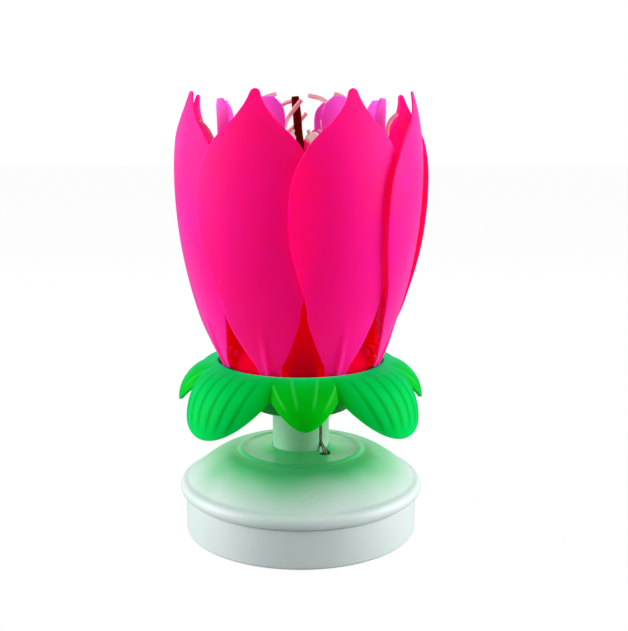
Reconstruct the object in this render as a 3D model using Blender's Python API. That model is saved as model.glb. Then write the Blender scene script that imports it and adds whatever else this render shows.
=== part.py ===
# Musical birthday candle shaped like a lotus bud.
# A turntable with the flower on its stem spins on a round base tray. The eight petals are hinged
# at their feet and fall open together, each carrying a leaf with stamens, a small candle and a wick.
# Metres, +Z up, origin at the centre of the tray's underside. The front of the photograph is -Y.

import math

import bmesh
import bpy
from mathutils import Matrix, Vector

MM = 0.001
TURN = 2 * math.pi

# Gaps between pieces
GAP = 0.3 * MM
OVERRUN = 1.0 * MM
MERGE = 0.0001 * MM

# Base tray, which stands on the cake
TRAY_RADIUS = 28.4 * MM
TRAY_HEIGHT = 9.0 * MM
TRAY_WALL = 1.2 * MM
TRAY_FLOOR = 1.2 * MM
TRAY_EDGE = 1.6 * MM
TRAY_EDGE_STEPS = 3
HUB_WALL = 1.3 * MM
HUB_LEDGE = 1.2 * MM

# Turntable plate that carries the works
PLATE_THICK = 1.2 * MM
PLATE_MARGIN = 3.2 * MM
PLATE_RADIUS = TRAY_RADIUS - TRAY_WALL - PLATE_MARGIN
JOURNAL_RADIUS = 4.0 * MM
PIVOT_SHANK_RADIUS = 1.3 * MM
PIVOT_HEAD_RADIUS = 5.8 * MM
PIVOT_HEAD_THICK = 1.6 * MM
PIVOT_HEAD_RAISE = 0.6 * MM

# Gears. The ring fills the tray's wall, and its teeth set the module of the others.
RING_TEETH = 56
IDLER_SMALL_TEETH = 10
IDLER_LARGE_TEETH = 18
PINION_TEETH = 8
RING_RIM = 3.58 * MM
GEAR_FACE = 3.0 * MM
WHEEL_FACE = 1.7 * MM
PINION_EXTRA_FACE = 0.6 * MM
ADDENDUM_SHARE = 0.8
DEDENDUM_SHARE = 1.15
TOOTH_TIP_SHARE = 0.22
TOOTH_ROOT_SHARE = 0.52
TOOTH_MODULE = (TRAY_RADIUS - TRAY_WALL - GAP - RING_RIM) / (RING_TEETH / 2 + DEDENDUM_SHARE)
AXLE_RADIUS = 0.7 * MM
AXLE_HEAD_RADIUS = 1.6 * MM
AXLE_HEAD_THICK = 0.6 * MM

# Motor
MOTOR_RADIUS = 6.0 * MM
MOTOR_HEIGHT = 7.2 * MM
MOTOR_OFFSET = 10.5 * MM
MOTOR_SHAFT_RADIUS = 0.75 * MM
MOTOR_SHAFT_DEPTH = 2.5 * MM

# Music module
CELL_RADIUS = 5.8 * MM
CELL_HEIGHT = 3.0 * MM
CELL_EDGE = 0.5 * MM
CELL_OFFSET = 13.0 * MM
CONTACT_THICK = 0.3 * MM
CONTACT_WIDTH = 4.0 * MM
CONTACT_LENGTH = 15.0 * MM
BOARD_LENGTH = 12.0 * MM
BOARD_WIDTH = 8.5 * MM
BOARD_THICK = 1.0 * MM
BOARD_SIDE_OFFSET = 4.0 * MM
BOARD_BACK_OFFSET = 14.8 * MM
CHIP_RADIUS = 2.4 * MM
CHIP_HEIGHT = 1.2 * MM
CHIP_STEPS = 3
SOUNDER_RADIUS = 6.5 * MM
SOUNDER_THICK = 0.5 * MM
SOUNDER_INSET = 8.2 * MM
SOUNDER_ASIDE = 1.0 * MM

# Base dome
RIM_STEP = 1.6 * MM
RIM_RADIUS = TRAY_RADIUS + RIM_STEP
RIM_BOTTOM = 9.6 * MM
RIM_HEIGHT = 3.6 * MM
RIM_OVERHANG = 1.8 * MM
RIM_FIRST_ANGLE = math.radians(-60)
RIM_LAST_ANGLE = math.radians(75)
RIM_STEPS = 4
DOME_RISE = 7.2 * MM
DOME_ROWS = 5
DOME_INSIDE_ROWS = 3
DOME_WALL = 1.2 * MM
STEP_RADIUS = 15.4 * MM
STEP_WIDTH = 1.5 * MM
STEP_RECESS = 0.6 * MM
WIRE_HOLE_RADIUS = 1.8 * MM
WIRE_HOLE_GAP = 0.9 * MM
WIRE_AZIMUTH = math.radians(-46)
SCREW_MARGIN = 3.0 * MM
SCREW_OFFSET = PLATE_RADIUS - SCREW_MARGIN
SCREW_AZIMUTH = math.radians(75)
SCREW_SHANK_RADIUS = 0.7 * MM
SCREW_HEAD_RADIUS = 1.8 * MM
SCREW_HEAD_THICK = 0.7 * MM
BOSS_RADIUS = 2.0 * MM

# Stem
STEM_RADIUS = 7.0 * MM
STEM_WALL = 1.4 * MM
STEM_FOOT_FLARE = 0.3 * MM
STEM_FOOT_HEIGHT = 1.2 * MM
STEM_HEIGHT = 10.5 * MM
STEM_SLIT = 1.0 * MM
STEM_CAP = 1.3 * MM
SPIGOT_RADIUS = 4.8 * MM
SPIGOT_WALL = 1.3 * MM
SPIGOT_LENGTH = 2.2 * MM
WIRE_RADIUS = 0.2 * MM
WIRE_GAP = 0.45 * MM

# Receptacle under the flower
RECEPTACLE_BASE_RADIUS = 12.8 * MM
RECEPTACLE_TOP_RADIUS = 19.2 * MM
RECEPTACLE_HEIGHT = 10.5 * MM
RECEPTACLE_WALL = 1.2 * MM
RECEPTACLE_FLOOR = 1.6 * MM
RECEPTACLE_FLANGE = 1.5 * MM
RECEPTACLE_FLANGE_THICK = 0.8 * MM
SWITCH_LENGTH = 12.0 * MM
SWITCH_WIDTH = 5.0 * MM
SWITCH_HEIGHT = 2.6 * MM
SWITCH_BUTTON_RADIUS = 0.9 * MM
SWITCH_BUTTON_HEIGHT = 0.6 * MM

# Calyx
CALYX_THICK = 0.9 * MM
CALYX_SEAT_GAP = 0.45 * MM
CALYX_LIP_RADIUS = 20.3 * MM
SEPAL_VALLEY_LENGTH = 7.75 * MM
SEPAL_SMALL_LENGTH = 15.95 * MM
SEPAL_LARGE_LENGTH = 20.7 * MM
SEPAL_VALLEY_CURL = math.radians(76.5)
SEPAL_SMALL_CURL = math.radians(104)
SEPAL_LARGE_CURL = math.radians(98)
SEPAL_START_SLOPE = math.radians(-1.5)
SEPAL_VALLEY_ANGLE = math.radians(17)
SEPAL_PAIR_ANGLE = math.radians(90)
SEPAL_SMALL_ROUNDING_SHARE = 0.42
CALYX_TURN = math.radians(2)

# Petal carrier with the hinge lugs, and the fountain tube in its middle
CARRIER_RADIUS = 15.2 * MM
CARRIER_WALL = 1.0 * MM
CARRIER_FLOOR = 1.0 * MM
CARRIER_RISE = 17.0 * MM
LOBE_REACH = 3.0 * MM
LOBE_RISE = 13.5 * MM
LOBE_HALF_ANGLE = math.radians(10.5)
LOBE_STEPS = 4
SOCKET_WALL = 1.0 * MM
SOCKET_HEIGHT = 9.0 * MM
FOUNTAIN_RADIUS = 4.0 * MM
FOUNTAIN_HEIGHT = 54.0 * MM
FUSE_RADIUS = 1.05 * MM
FUSE_HEIGHT = 14.2 * MM
FUSE_LEAN = math.radians(-5.5)
FUSE_LIFT = 0.26 * MM
THREAD_WIDTH = 0.5 * MM
THREAD_DROP = 8.2 * MM

# Petals
PETAL_COUNT = 8
PETAL_TURN = math.radians(1.6)
PETAL_FOOT_RADIUS = 19.75 * MM
PETAL_PEAK_RADIUS = 29.35 * MM
PETAL_TIP_DRAW = 2.4 * MM
PETAL_BELLY_HEIGHT = 44.9 * MM
PETAL_TOP_HEIGHT = 18.6 * MM
PETAL_HALF_WIDTH = 14.8 * MM
PETAL_THICK = 0.8 * MM
PETAL_SPIRAL_STEP = 1.5 * MM
HINGE_RADIUS = 17.6 * MM
HINGE_RISE = 3.0 * MM
KNUCKLE_RADIUS = 1.2 * MM
KNUCKLE_HALF_LENGTH = 1.1 * MM
ARM_THICK_SHARE = 0.7
TRUNNION_RADIUS = 0.7 * MM
LUG_THICK = 1.2 * MM
LUG_RADIUS = 1.5 * MM

# Half width of a petal, as shares of its greatest half width, at shares of its height
PETAL_OUTLINE_SHARES = (
    (0.0, 0.18), (0.03, 0.21), (0.06, 0.29), (0.1, 0.385), (0.15, 0.49), (0.2, 0.58), (0.26, 0.645),
    (0.32, 0.73), (0.38, 0.825), (0.47, 0.94), (0.58, 1.0), (0.66, 0.985), (0.725, 0.92), (0.78, 0.8),
    (0.82, 0.685), (0.86, 0.515), (0.9, 0.32), (0.94, 0.185), (0.975, 0.11), (1.0, 0.04),
)

# Share of a petal's height over which its left edge comes to lie over its neighbour
PETAL_LAP_SHARE = 0.15

# Leaf that carries the candle and the stamens
LEAF_THICK = 0.7 * MM
LEAF_HALF_WIDTH = 4.0 * MM
LEAF_FOOT = 6.0 * MM
LEAF_HEIGHT = 56.0 * MM
LEAF_LEAN = 0.4 * MM
LEAF_OUTLINE_SHARES = (
    (0.0, 0.5), (0.12, 0.5), (0.45, 0.52), (0.7, 0.6),
    (0.82, 0.86), (0.91, 1.0), (0.965, 0.85), (1.0, 0.35),
)
STAMEN_RADIUS = 0.5 * MM
STAMEN_REACH = 12.0 * MM
STAMEN_SPREAD = 4.5 * MM

# Points of the two stamens, each (outward, sideways, down from the leaf's tip): sideways as a share
# of the spread, outward as a share of the spread for the first one and of the reach for the second,
# and down as a share of the reach
OUTER_STAMEN_SHARES = ((0.0, 0.2, 1.4), (0.3, 0.75, 0.95), (0.85, 1.35, 0.4))
INNER_STAMEN_SHARES = ((0.0, -0.2, 1.4), (-0.15, -0.45, 0.75), (-0.75, -1.2, 0.05))

# Candle on each leaf
CANDLE_RADIUS = 1.5 * MM
CANDLE_LENGTH = 15.0 * MM
CANDLE_TILT = math.radians(57)
CANDLE_SEAT_SHARE = 0.69
CUP_RADIUS = 2.5 * MM
CUP_LENGTH = 3.0 * MM
CUP_DEPTH = 2.2 * MM
WICK_RADIUS = 0.3 * MM
WICK_LENGTH = 2.6 * MM

# Facets
ROUND_STEPS = 40
HALF_STEPS = 28
SMALL_STEPS = 12
TINY_STEPS = 8
WIRE_SIDES = 5
PETAL_ROWS = 10
PETAL_COLUMNS = 6
LEAF_ROWS = 6
LEAF_COLUMNS = 4
SEPAL_STEPS = 64
SEPAL_ROWS = 4
CURL_STEPS = 12
WIRE_STEPS = 4
STAMEN_STEPS = 3
ARC_STEPS = 4

# Heights worked out from the sizes
PIVOT_TOP = PIVOT_HEAD_RAISE + PIVOT_HEAD_THICK
HUB_LEDGE_BOTTOM = PIVOT_TOP + GAP
HUB_RADIUS = JOURNAL_RADIUS + GAP
RING_BOTTOM = TRAY_FLOOR + GAP
RING_TOP = RING_BOTTOM + GEAR_FACE
WHEEL_BOTTOM = RING_TOP + 2 * GAP
WHEEL_TOP = WHEEL_BOTTOM + WHEEL_FACE
PLATE_BOTTOM = WHEEL_TOP + PINION_EXTRA_FACE + GAP + SCREW_HEAD_THICK / 2
PLATE_TOP = PLATE_BOTTOM + PLATE_THICK
WORKS_BOTTOM = PLATE_TOP + GAP
DOME_TOP = RIM_BOTTOM + RIM_HEIGHT + DOME_RISE
DOME_SEAT = DOME_TOP - STEP_RECESS
STEM_BOTTOM = DOME_SEAT + GAP
STEM_TOP = STEM_BOTTOM + STEM_HEIGHT
RECEPTACLE_BOTTOM = STEM_TOP + GAP
RECEPTACLE_TOP = RECEPTACLE_BOTTOM + RECEPTACLE_HEIGHT
CALYX_TOP = RECEPTACLE_TOP + CALYX_SEAT_GAP + CALYX_THICK
PETAL_FOOT = CALYX_TOP + GAP
PETAL_PEAK = PETAL_FOOT + PETAL_BELLY_HEIGHT
PETAL_TIP = PETAL_PEAK + PETAL_TOP_HEIGHT
HINGE_HEIGHT = PETAL_FOOT + HINGE_RISE
CONE_BOTTOM = RECEPTACLE_BOTTOM + RECEPTACLE_FLOOR
CONE_TOP = RECEPTACLE_TOP - RECEPTACLE_FLANGE_THICK - RECEPTACLE_WALL
CONE_SPREAD = RECEPTACLE_TOP_RADIUS - RECEPTACLE_BASE_RADIUS
CARRIER_FIT = CARRIER_RADIUS + 2 * GAP + RECEPTACLE_WALL - RECEPTACLE_BASE_RADIUS
CARRIER_BOTTOM = CONE_BOTTOM + (CONE_TOP - CONE_BOTTOM) * CARRIER_FIT / CONE_SPREAD
FOUNTAIN_BOTTOM = CARRIER_BOTTOM + CARRIER_FLOOR + GAP
FOUNTAIN_TOP = FOUNTAIN_BOTTOM + FOUNTAIN_HEIGHT
THREAD_LEVEL = PETAL_FOOT + LEAF_FOOT + LEAF_HEIGHT * CANDLE_SEAT_SHARE - THREAD_DROP

# Colours from the photograph, roughness and metallic value of each finish
FINISHES = {
    "hot_pink": ((0.86, 0.0, 0.17), 0.32, 0.0),
    "deep_pink": ((0.62, 0.0, 0.06), 0.4, 0.0),
    "pale_pink": ((0.85, 0.25, 0.45), 0.4, 0.0),
    "leaf_green": ((0.0, 0.42, 0.06), 0.38, 0.0),
    "white_plastic": ((0.78, 0.82, 0.8), 0.35, 0.0),
    "gear_plastic": ((0.85, 0.83, 0.75), 0.5, 0.0),
    "bare_metal": ((0.6, 0.6, 0.62), 0.3, 1.0),
    "brass": ((0.75, 0.55, 0.2), 0.3, 1.0),
    "board_green": ((0.02, 0.2, 0.08), 0.5, 0.0),
    "black_resin": ((0.01, 0.01, 0.01), 0.3, 0.0),
    "card": ((0.45, 0.1, 0.12), 0.8, 0.0),
    "fuse_red": ((0.09, 0.003, 0.003), 0.85, 0.0),
    "enamel_brown": ((0.25, 0.1, 0.03), 0.4, 0.0),
    "candle_wax": ((0.85, 0.5, 0.5), 0.45, 0.0),
    "cotton": ((0.85, 0.82, 0.75), 0.9, 0.0),
}


def clear_scene():
    for old in list(bpy.data.objects):
        bpy.data.objects.remove(old, do_unlink=True)


def material(finish):
    """The Principled material of one finish, made the first time that it is asked for."""
    found = bpy.data.materials.get(finish)
    if found:
        return found
    colour, roughness, metallic = FINISHES[finish]
    made = bpy.data.materials.new(finish)
    made.use_nodes = True
    shader = made.node_tree.nodes["Principled BSDF"]
    shader.inputs["Base Color"].default_value = (*colour, 1.0)
    shader.inputs["Roughness"].default_value = roughness
    shader.inputs["Metallic"].default_value = metallic
    return made


def add_object(name, mesh, finish=None):
    """A scene object for a mesh. One with no finish is a helper that the build leaves out."""
    made = bpy.data.objects.new(name, mesh)
    bpy.context.scene.collection.objects.link(made)
    if finish is None:
        made.hide_render = True
        made.display_type = "WIRE"
        return made
    if not mesh.materials:
        mesh.materials.append(material(finish))
    mesh.shade_smooth()
    mesh.set_sharp_from_angle(angle=math.radians(35))
    return made


def mesh_of(bm, name):
    bmesh.ops.remove_doubles(bm, verts=bm.verts, dist=MERGE)
    bmesh.ops.recalc_face_normals(bm, faces=bm.faces)
    made = bpy.data.meshes.new(name)
    bm.to_mesh(made)
    bm.free()
    return made


def turned_mesh(name, profile, steps=ROUND_STEPS):
    """A closed outline of (radius, height) points, turned about Z."""
    bm = bmesh.new()
    ring = [bm.verts.new((radius, 0, height)) for radius, height in profile]
    for a, b in zip(ring, ring[1:] + ring[:1]):
        if a.co.x > MERGE or b.co.x > MERGE:
            bm.edges.new((a, b))
    bmesh.ops.spin(bm, geom=list(bm.verts) + list(bm.edges), cent=(0, 0, 0), axis=(0, 0, 1),
                   angle=TURN, steps=steps, use_merge=True)
    return mesh_of(bm, name)


def rod_profile(radius, bottom, top):
    return [(0, bottom), (radius, bottom), (radius, top), (0, top)]


def extruded_mesh(name, outline, bottom, top):
    """A flat outline of (x, y) points, raised from bottom to top."""
    bm = bmesh.new()
    face = bm.faces.new([bm.verts.new((x, y, bottom)) for x, y in outline])
    raised = bmesh.ops.extrude_face_region(bm, geom=[face])
    moved = [item for item in raised["geom"] if isinstance(item, bmesh.types.BMVert)]
    bmesh.ops.translate(bm, verts=moved, vec=(0, 0, top - bottom))
    return mesh_of(bm, name)


def box_mesh(name, length, width, bottom, top):
    x, y = length / 2, width / 2
    return extruded_mesh(name, [(-x, -y), (x, -y), (x, y), (-x, y)], bottom, top)


def boolean(target, tool, operation):
    change = target.modifiers.new(operation.lower(), "BOOLEAN")
    change.operation = operation
    change.solver = "EXACT"
    change.object = tool
    return change


def settled_mesh(source):
    """The mesh of an object with its modifiers carried out."""
    graph = bpy.context.evaluated_depsgraph_get()
    graph.update()
    return bpy.data.meshes.new_from_object(source.evaluated_get(graph), depsgraph=graph)


def joined_mesh(name, first, additions=(), cuts=()):
    """One mesh made of the first, with the additions joined on and the cuts taken out."""
    base = add_object(name + "_shape", first)
    for mesh in additions:
        boolean(base, add_object(name + "_addition", mesh), "UNION")
    for mesh in cuts:
        boolean(base, add_object(name + "_cut", mesh), "DIFFERENCE")
    return settled_mesh(base)


def moved_mesh(mesh, matrix):
    mesh.transform(matrix)
    return mesh


def polar(radius, azimuth, height=0.0):
    return Vector((radius * math.cos(azimuth), radius * math.sin(azimuth), height))


def arc(centre_radius, centre_height, size, first, last, count):
    """Points of (radius, height) on an arc, with angles from +radius towards +height."""
    angles = [first + (last - first) * step / count for step in range(count + 1)]
    return [(centre_radius + size * math.cos(a), centre_height + size * math.sin(a)) for a in angles]


def smooth_share(table, at):
    """Reads a table of (share, value) pairs along a smooth curve that passes through them."""
    for index in range(len(table) - 1):
        (a, low), (b, high) = table[index], table[index + 1]
        if at <= b:
            break
    before = table[max(index - 1, 0)]
    after = table[min(index + 2, len(table) - 1)]
    slope_in = (high - before[1]) / (b - before[0])
    slope_out = (after[1] - low) / (after[0] - a)
    t = min(max((at - a) / (b - a), 0), 1)
    span = b - a
    return ((2 * t**3 - 3 * t**2 + 1) * low + (t**3 - 2 * t**2 + t) * span * slope_in
            + (3 * t**2 - 2 * t**3) * high + (t**3 - t**2) * span * slope_out)


def smooth_path(points, per_run):
    """Samples of the smooth curve through hand-chosen points."""
    samples = []
    for index in range(len(points) - 1):
        a, b = points[index], points[index + 1]
        before = points[max(index - 1, 0)]
        after = points[min(index + 2, len(points) - 1)]
        for step in range(per_run):
            t = step / per_run
            samples.append(a * (2 * t**3 - 3 * t**2 + 1) + (b - before) * (t**3 - 2 * t**2 + t) / 2
                           + b * (3 * t**2 - 2 * t**3) + (after - a) * (t**3 - t**2) / 2)
    samples.append(points[-1])
    return samples


def tube_mesh(name, points, radius, sides, per_run):
    """A round rod along the smooth curve through the points."""
    samples = smooth_path(points, per_run)
    bm = bmesh.new()
    rings = []
    across = None
    for index, centre in enumerate(samples):
        along = (samples[min(index + 1, len(samples) - 1)] - samples[max(index - 1, 0)]).normalized()
        across = along.orthogonal() if across is None else across - along * across.dot(along)
        across.normalize()
        other = along.cross(across)
        ring = []
        for side in range(sides):
            angle = TURN * side / sides
            spoke = across * math.cos(angle) + other * math.sin(angle)
            ring.append(bm.verts.new(centre + spoke * radius))
        rings.append(ring)
    for lower, upper in zip(rings, rings[1:]):
        for side in range(sides):
            after = (side + 1) % sides
            bm.faces.new((lower[side], lower[after], upper[after], upper[side]))
    bm.faces.new(rings[0][::-1])
    bm.faces.new(rings[-1])
    return mesh_of(bm, name)


# Gears

def gear_outline(teeth, phase, outward=1):
    """Corners of a gear's teeth. A tooth's middle lies at the phase angle; outward is -1 for a ring."""
    pitch_radius = TOOTH_MODULE * teeth / 2
    tip = pitch_radius + outward * ADDENDUM_SHARE * TOOTH_MODULE
    root = pitch_radius - outward * DEDENDUM_SHARE * TOOTH_MODULE
    pitch = TURN / teeth
    points = []
    for tooth in range(teeth):
        middle = phase + tooth * pitch
        for radius, share in ((root, -TOOTH_ROOT_SHARE), (tip, -TOOTH_TIP_SHARE),
                              (tip, TOOTH_TIP_SHARE), (root, TOOTH_ROOT_SHARE)):
            angle = middle + share * pitch / 2
            points.append((radius * math.cos(angle), radius * math.sin(angle)))
    return points


def gear_centres():
    """Places of the idler's axle and of the motor, in the turntable's plane."""
    idler_offset = TOOTH_MODULE * (RING_TEETH - IDLER_SMALL_TEETH) / 2
    mesh_distance = TOOTH_MODULE * (IDLER_LARGE_TEETH + PINION_TEETH) / 2
    cosine = (idler_offset**2 + MOTOR_OFFSET**2 - mesh_distance**2) / (2 * idler_offset * MOTOR_OFFSET)
    azimuth = math.acos(cosine)
    return polar(idler_offset, azimuth), Vector((MOTOR_OFFSET, 0, 0)), azimuth


def add_gears():
    idler, motor, azimuth = gear_centres()
    ring_inside = gear_outline(RING_TEETH, azimuth + math.pi / RING_TEETH, -1)
    blank = turned_mesh("ring_blank", rod_profile(TRAY_RADIUS - TRAY_WALL - GAP, RING_BOTTOM, RING_TOP))
    bore = extruded_mesh("ring_bore", ring_inside, RING_BOTTOM - OVERRUN, RING_TOP + OVERRUN)
    add_object("ring_gear", joined_mesh("ring_gear", blank, cuts=[bore]), "gear_plastic")

    small = extruded_mesh("idler_small", gear_outline(IDLER_SMALL_TEETH, azimuth),
                          RING_BOTTOM + GAP, WHEEL_BOTTOM + WHEEL_FACE / 2)
    towards_motor = math.atan2(motor.y - idler.y, motor.x - idler.x)
    large_outline = gear_outline(IDLER_LARGE_TEETH, towards_motor)
    large = extruded_mesh("idler_large", large_outline, WHEEL_BOTTOM, WHEEL_TOP)
    hole_profile = rod_profile(AXLE_RADIUS + GAP, 0, WHEEL_TOP + OVERRUN)
    axle_hole = turned_mesh("axle_hole", hole_profile, SMALL_STEPS)
    wheel = add_object("idler_gear", joined_mesh("idler_gear", small, [large], [axle_hole]), "gear_plastic")
    wheel.location = idler

    head_top = WORKS_BOTTOM + AXLE_HEAD_THICK
    axle_profile = [(0, RING_BOTTOM), (AXLE_RADIUS, RING_BOTTOM), (AXLE_RADIUS, WORKS_BOTTOM),
                    (AXLE_HEAD_RADIUS, WORKS_BOTTOM), (AXLE_HEAD_RADIUS, head_top), (0, head_top)]
    axle = turned_mesh("idler_axle", axle_profile, SMALL_STEPS)
    add_object("idler_axle", axle, "bare_metal").location = idler

    space = math.atan2(idler.y - motor.y, idler.x - motor.x) + math.pi / PINION_TEETH
    pinion_top = WHEEL_TOP + PINION_EXTRA_FACE
    teeth = extruded_mesh("pinion_teeth", gear_outline(PINION_TEETH, space), WHEEL_BOTTOM, pinion_top)
    shaft_top = WORKS_BOTTOM + MOTOR_SHAFT_DEPTH - GAP
    shaft_profile = rod_profile(MOTOR_SHAFT_RADIUS, WHEEL_BOTTOM + GAP, shaft_top)
    shaft = turned_mesh("pinion_shaft", shaft_profile, SMALL_STEPS)
    add_object("motor_pinion", joined_mesh("motor_pinion", teeth, [shaft]), "brass").location = motor

    motor_top = WORKS_BOTTOM + MOTOR_HEIGHT
    bore = MOTOR_SHAFT_RADIUS + GAP
    bore_top = WORKS_BOTTOM + MOTOR_SHAFT_DEPTH
    can_profile = [(bore, WORKS_BOTTOM), (MOTOR_RADIUS, WORKS_BOTTOM), (MOTOR_RADIUS, motor_top),
                   (0, motor_top), (0, bore_top), (bore, bore_top)]
    can = turned_mesh("motor", can_profile, HALF_STEPS)
    add_object("motor", can, "bare_metal").location = motor


# Base tray, plate and pivot

def add_tray():
    floor_edge = arc(TRAY_RADIUS - TRAY_EDGE, TRAY_EDGE, TRAY_EDGE, -math.pi / 2, 0, TRAY_EDGE_STEPS)
    inside = TRAY_RADIUS - TRAY_WALL
    hub_top = PLATE_BOTTOM - GAP
    hub_outside = HUB_RADIUS + HUB_WALL
    recess = PIVOT_HEAD_RADIUS + GAP
    recess_outside = recess + HUB_WALL
    ledge_top = HUB_LEDGE_BOTTOM + HUB_LEDGE
    profile = [(recess, 0), *floor_edge, (TRAY_RADIUS, TRAY_HEIGHT), (inside, TRAY_HEIGHT),
               (inside, TRAY_FLOOR), (recess_outside, TRAY_FLOOR), (recess_outside, ledge_top),
               (hub_outside, ledge_top), (hub_outside, hub_top), (HUB_RADIUS, hub_top),
               (HUB_RADIUS, HUB_LEDGE_BOTTOM), (recess, HUB_LEDGE_BOTTOM)]
    add_object("base_tray", turned_mesh("base_tray", profile), "white_plastic")


def add_plate():
    idler, motor, _ = gear_centres()
    pilot = PIVOT_SHANK_RADIUS + GAP
    journal_bottom = PIVOT_TOP + GAP
    profile = [(pilot, journal_bottom), (JOURNAL_RADIUS, journal_bottom), (JOURNAL_RADIUS, PLATE_BOTTOM),
               (PLATE_RADIUS, PLATE_BOTTOM), (PLATE_RADIUS, PLATE_TOP), (0, PLATE_TOP),
               (0, PLATE_BOTTOM), (pilot, PLATE_BOTTOM)]
    holes = [(idler, AXLE_RADIUS + GAP), (motor, MOTOR_SHAFT_RADIUS + 2 * GAP)]
    holes += [(place, SCREW_SHANK_RADIUS + GAP) for place in screw_places()]
    cuts = []
    for place, radius in holes:
        drill_profile = rod_profile(radius, PLATE_BOTTOM - OVERRUN, PLATE_TOP + OVERRUN)
        drill = turned_mesh("plate_drill", drill_profile, SMALL_STEPS)
        cuts.append(moved_mesh(drill, Matrix.Translation(place)))
    plate = joined_mesh("mechanism_plate", turned_mesh("plate_blank", profile), cuts=cuts)
    add_object("mechanism_plate", plate, "white_plastic")

    shank_top = PLATE_BOTTOM - GAP
    screw = [(0, PIVOT_HEAD_RAISE), (PIVOT_HEAD_RADIUS, PIVOT_HEAD_RAISE), (PIVOT_HEAD_RADIUS, PIVOT_TOP),
             (PIVOT_SHANK_RADIUS, PIVOT_TOP), (PIVOT_SHANK_RADIUS, shank_top), (0, shank_top)]
    slot = box_mesh("pivot_slot", 2 * PIVOT_HEAD_RADIUS - 2 * OVERRUN, PIVOT_HEAD_THICK,
                    PIVOT_HEAD_RAISE - OVERRUN, PIVOT_HEAD_RAISE + PIVOT_HEAD_THICK / 2)
    blank = turned_mesh("pivot_blank", screw, HALF_STEPS)
    add_object("pivot_screw", joined_mesh("pivot_screw", blank, cuts=[slot]), "bare_metal")


# Music module

def add_music_module():
    cap_radius = CELL_RADIUS - CELL_EDGE
    cell_profile = [(0, 0), (cap_radius, 0), (cap_radius, CELL_EDGE), (CELL_RADIUS, CELL_EDGE),
                    (CELL_RADIUS, CELL_HEIGHT), (0, CELL_HEIGHT)]
    cell_bottom = WORKS_BOTTOM + CONTACT_THICK + GAP
    cell_mesh = turned_mesh("cell", cell_profile, HALF_STEPS)
    for number in (1, 2):
        cell = add_object(f"cell_{number}", cell_mesh, "bare_metal")
        cell.location = (-CELL_OFFSET, 0, cell_bottom + (number - 1) * (CELL_HEIGHT + GAP))
    upper = cell_bottom + 2 * (CELL_HEIGHT + GAP)
    for name, bottom in (("cell_contact_lower", WORKS_BOTTOM), ("cell_contact_upper", upper)):
        strip = box_mesh(name, CONTACT_WIDTH, CONTACT_LENGTH, bottom, bottom + CONTACT_THICK)
        add_object(name, strip, "brass").location.x = -CELL_OFFSET

    board_place = Vector((BOARD_SIDE_OFFSET, -BOARD_BACK_OFFSET, 0))
    board_top = WORKS_BOTTOM + BOARD_THICK
    board = box_mesh("circuit_board", BOARD_LENGTH, BOARD_WIDTH, WORKS_BOTTOM, board_top)
    add_object("circuit_board", board, "board_green").location = board_place
    chip_bottom = board_top + GAP
    blob = [(0, chip_bottom)]
    for step in range(CHIP_STEPS):
        angle = math.pi / 2 * step / CHIP_STEPS
        blob.append((CHIP_RADIUS * math.cos(angle), chip_bottom + CHIP_HEIGHT * math.sin(angle)))
    blob.append((0, chip_bottom + CHIP_HEIGHT))
    chip = turned_mesh("music_chip", blob, SMALL_STEPS)
    add_object("music_chip", chip, "black_resin").location = board_place

    disc_profile = rod_profile(SOUNDER_RADIUS, WORKS_BOTTOM, WORKS_BOTTOM + SOUNDER_THICK)
    disc = turned_mesh("piezo_sounder", disc_profile, HALF_STEPS)
    add_object("piezo_sounder", disc, "brass").location = (-SOUNDER_ASIDE, SCREW_OFFSET - SOUNDER_INSET, 0)


# Base dome

def dome_outline():
    """(radius, height) points of the dome's outside, from the rim's foot to the stem's hole."""
    shoulder = RIM_BOTTOM + RIM_HEIGHT
    groove_radius = RIM_RADIUS - RIM_OVERHANG
    rim_half = RIM_HEIGHT / 2
    rim = arc(RIM_RADIUS - rim_half, RIM_BOTTOM + rim_half, rim_half,
              RIM_FIRST_ANGLE, RIM_LAST_ANGLE, RIM_STEPS)
    sweep = STEP_RADIUS + STEP_WIDTH / 2
    dome = []
    for row in range(DOME_ROWS + 1):
        share = row / DOME_ROWS
        radius = groove_radius + (sweep - groove_radius) * share
        dome.append((radius, shoulder + (DOME_RISE - STEP_RECESS) * math.sin(share * math.pi / 2)))
    bead = []
    for step in range(1, ARC_STEPS + 1):
        angle = math.pi * step / ARC_STEPS
        radius = STEP_RADIUS + STEP_WIDTH / 2 * math.cos(angle)
        bead.append((radius, DOME_SEAT + STEP_RECESS * math.sin(angle)))
    return rim + dome + bead


def dome_underside(radius):
    """Height of the dome's inside at a radius."""
    outline = [point for point in dome_outline() if point[1] > RIM_BOTTOM + RIM_HEIGHT / 2]
    for (outer, low), (inner, high) in zip(outline, outline[1:]):
        if inner <= radius <= outer:
            share = (outer - radius) / max(outer - inner, MERGE)
            return low + (high - low) * share - DOME_WALL
    return DOME_SEAT - DOME_WALL


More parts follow.
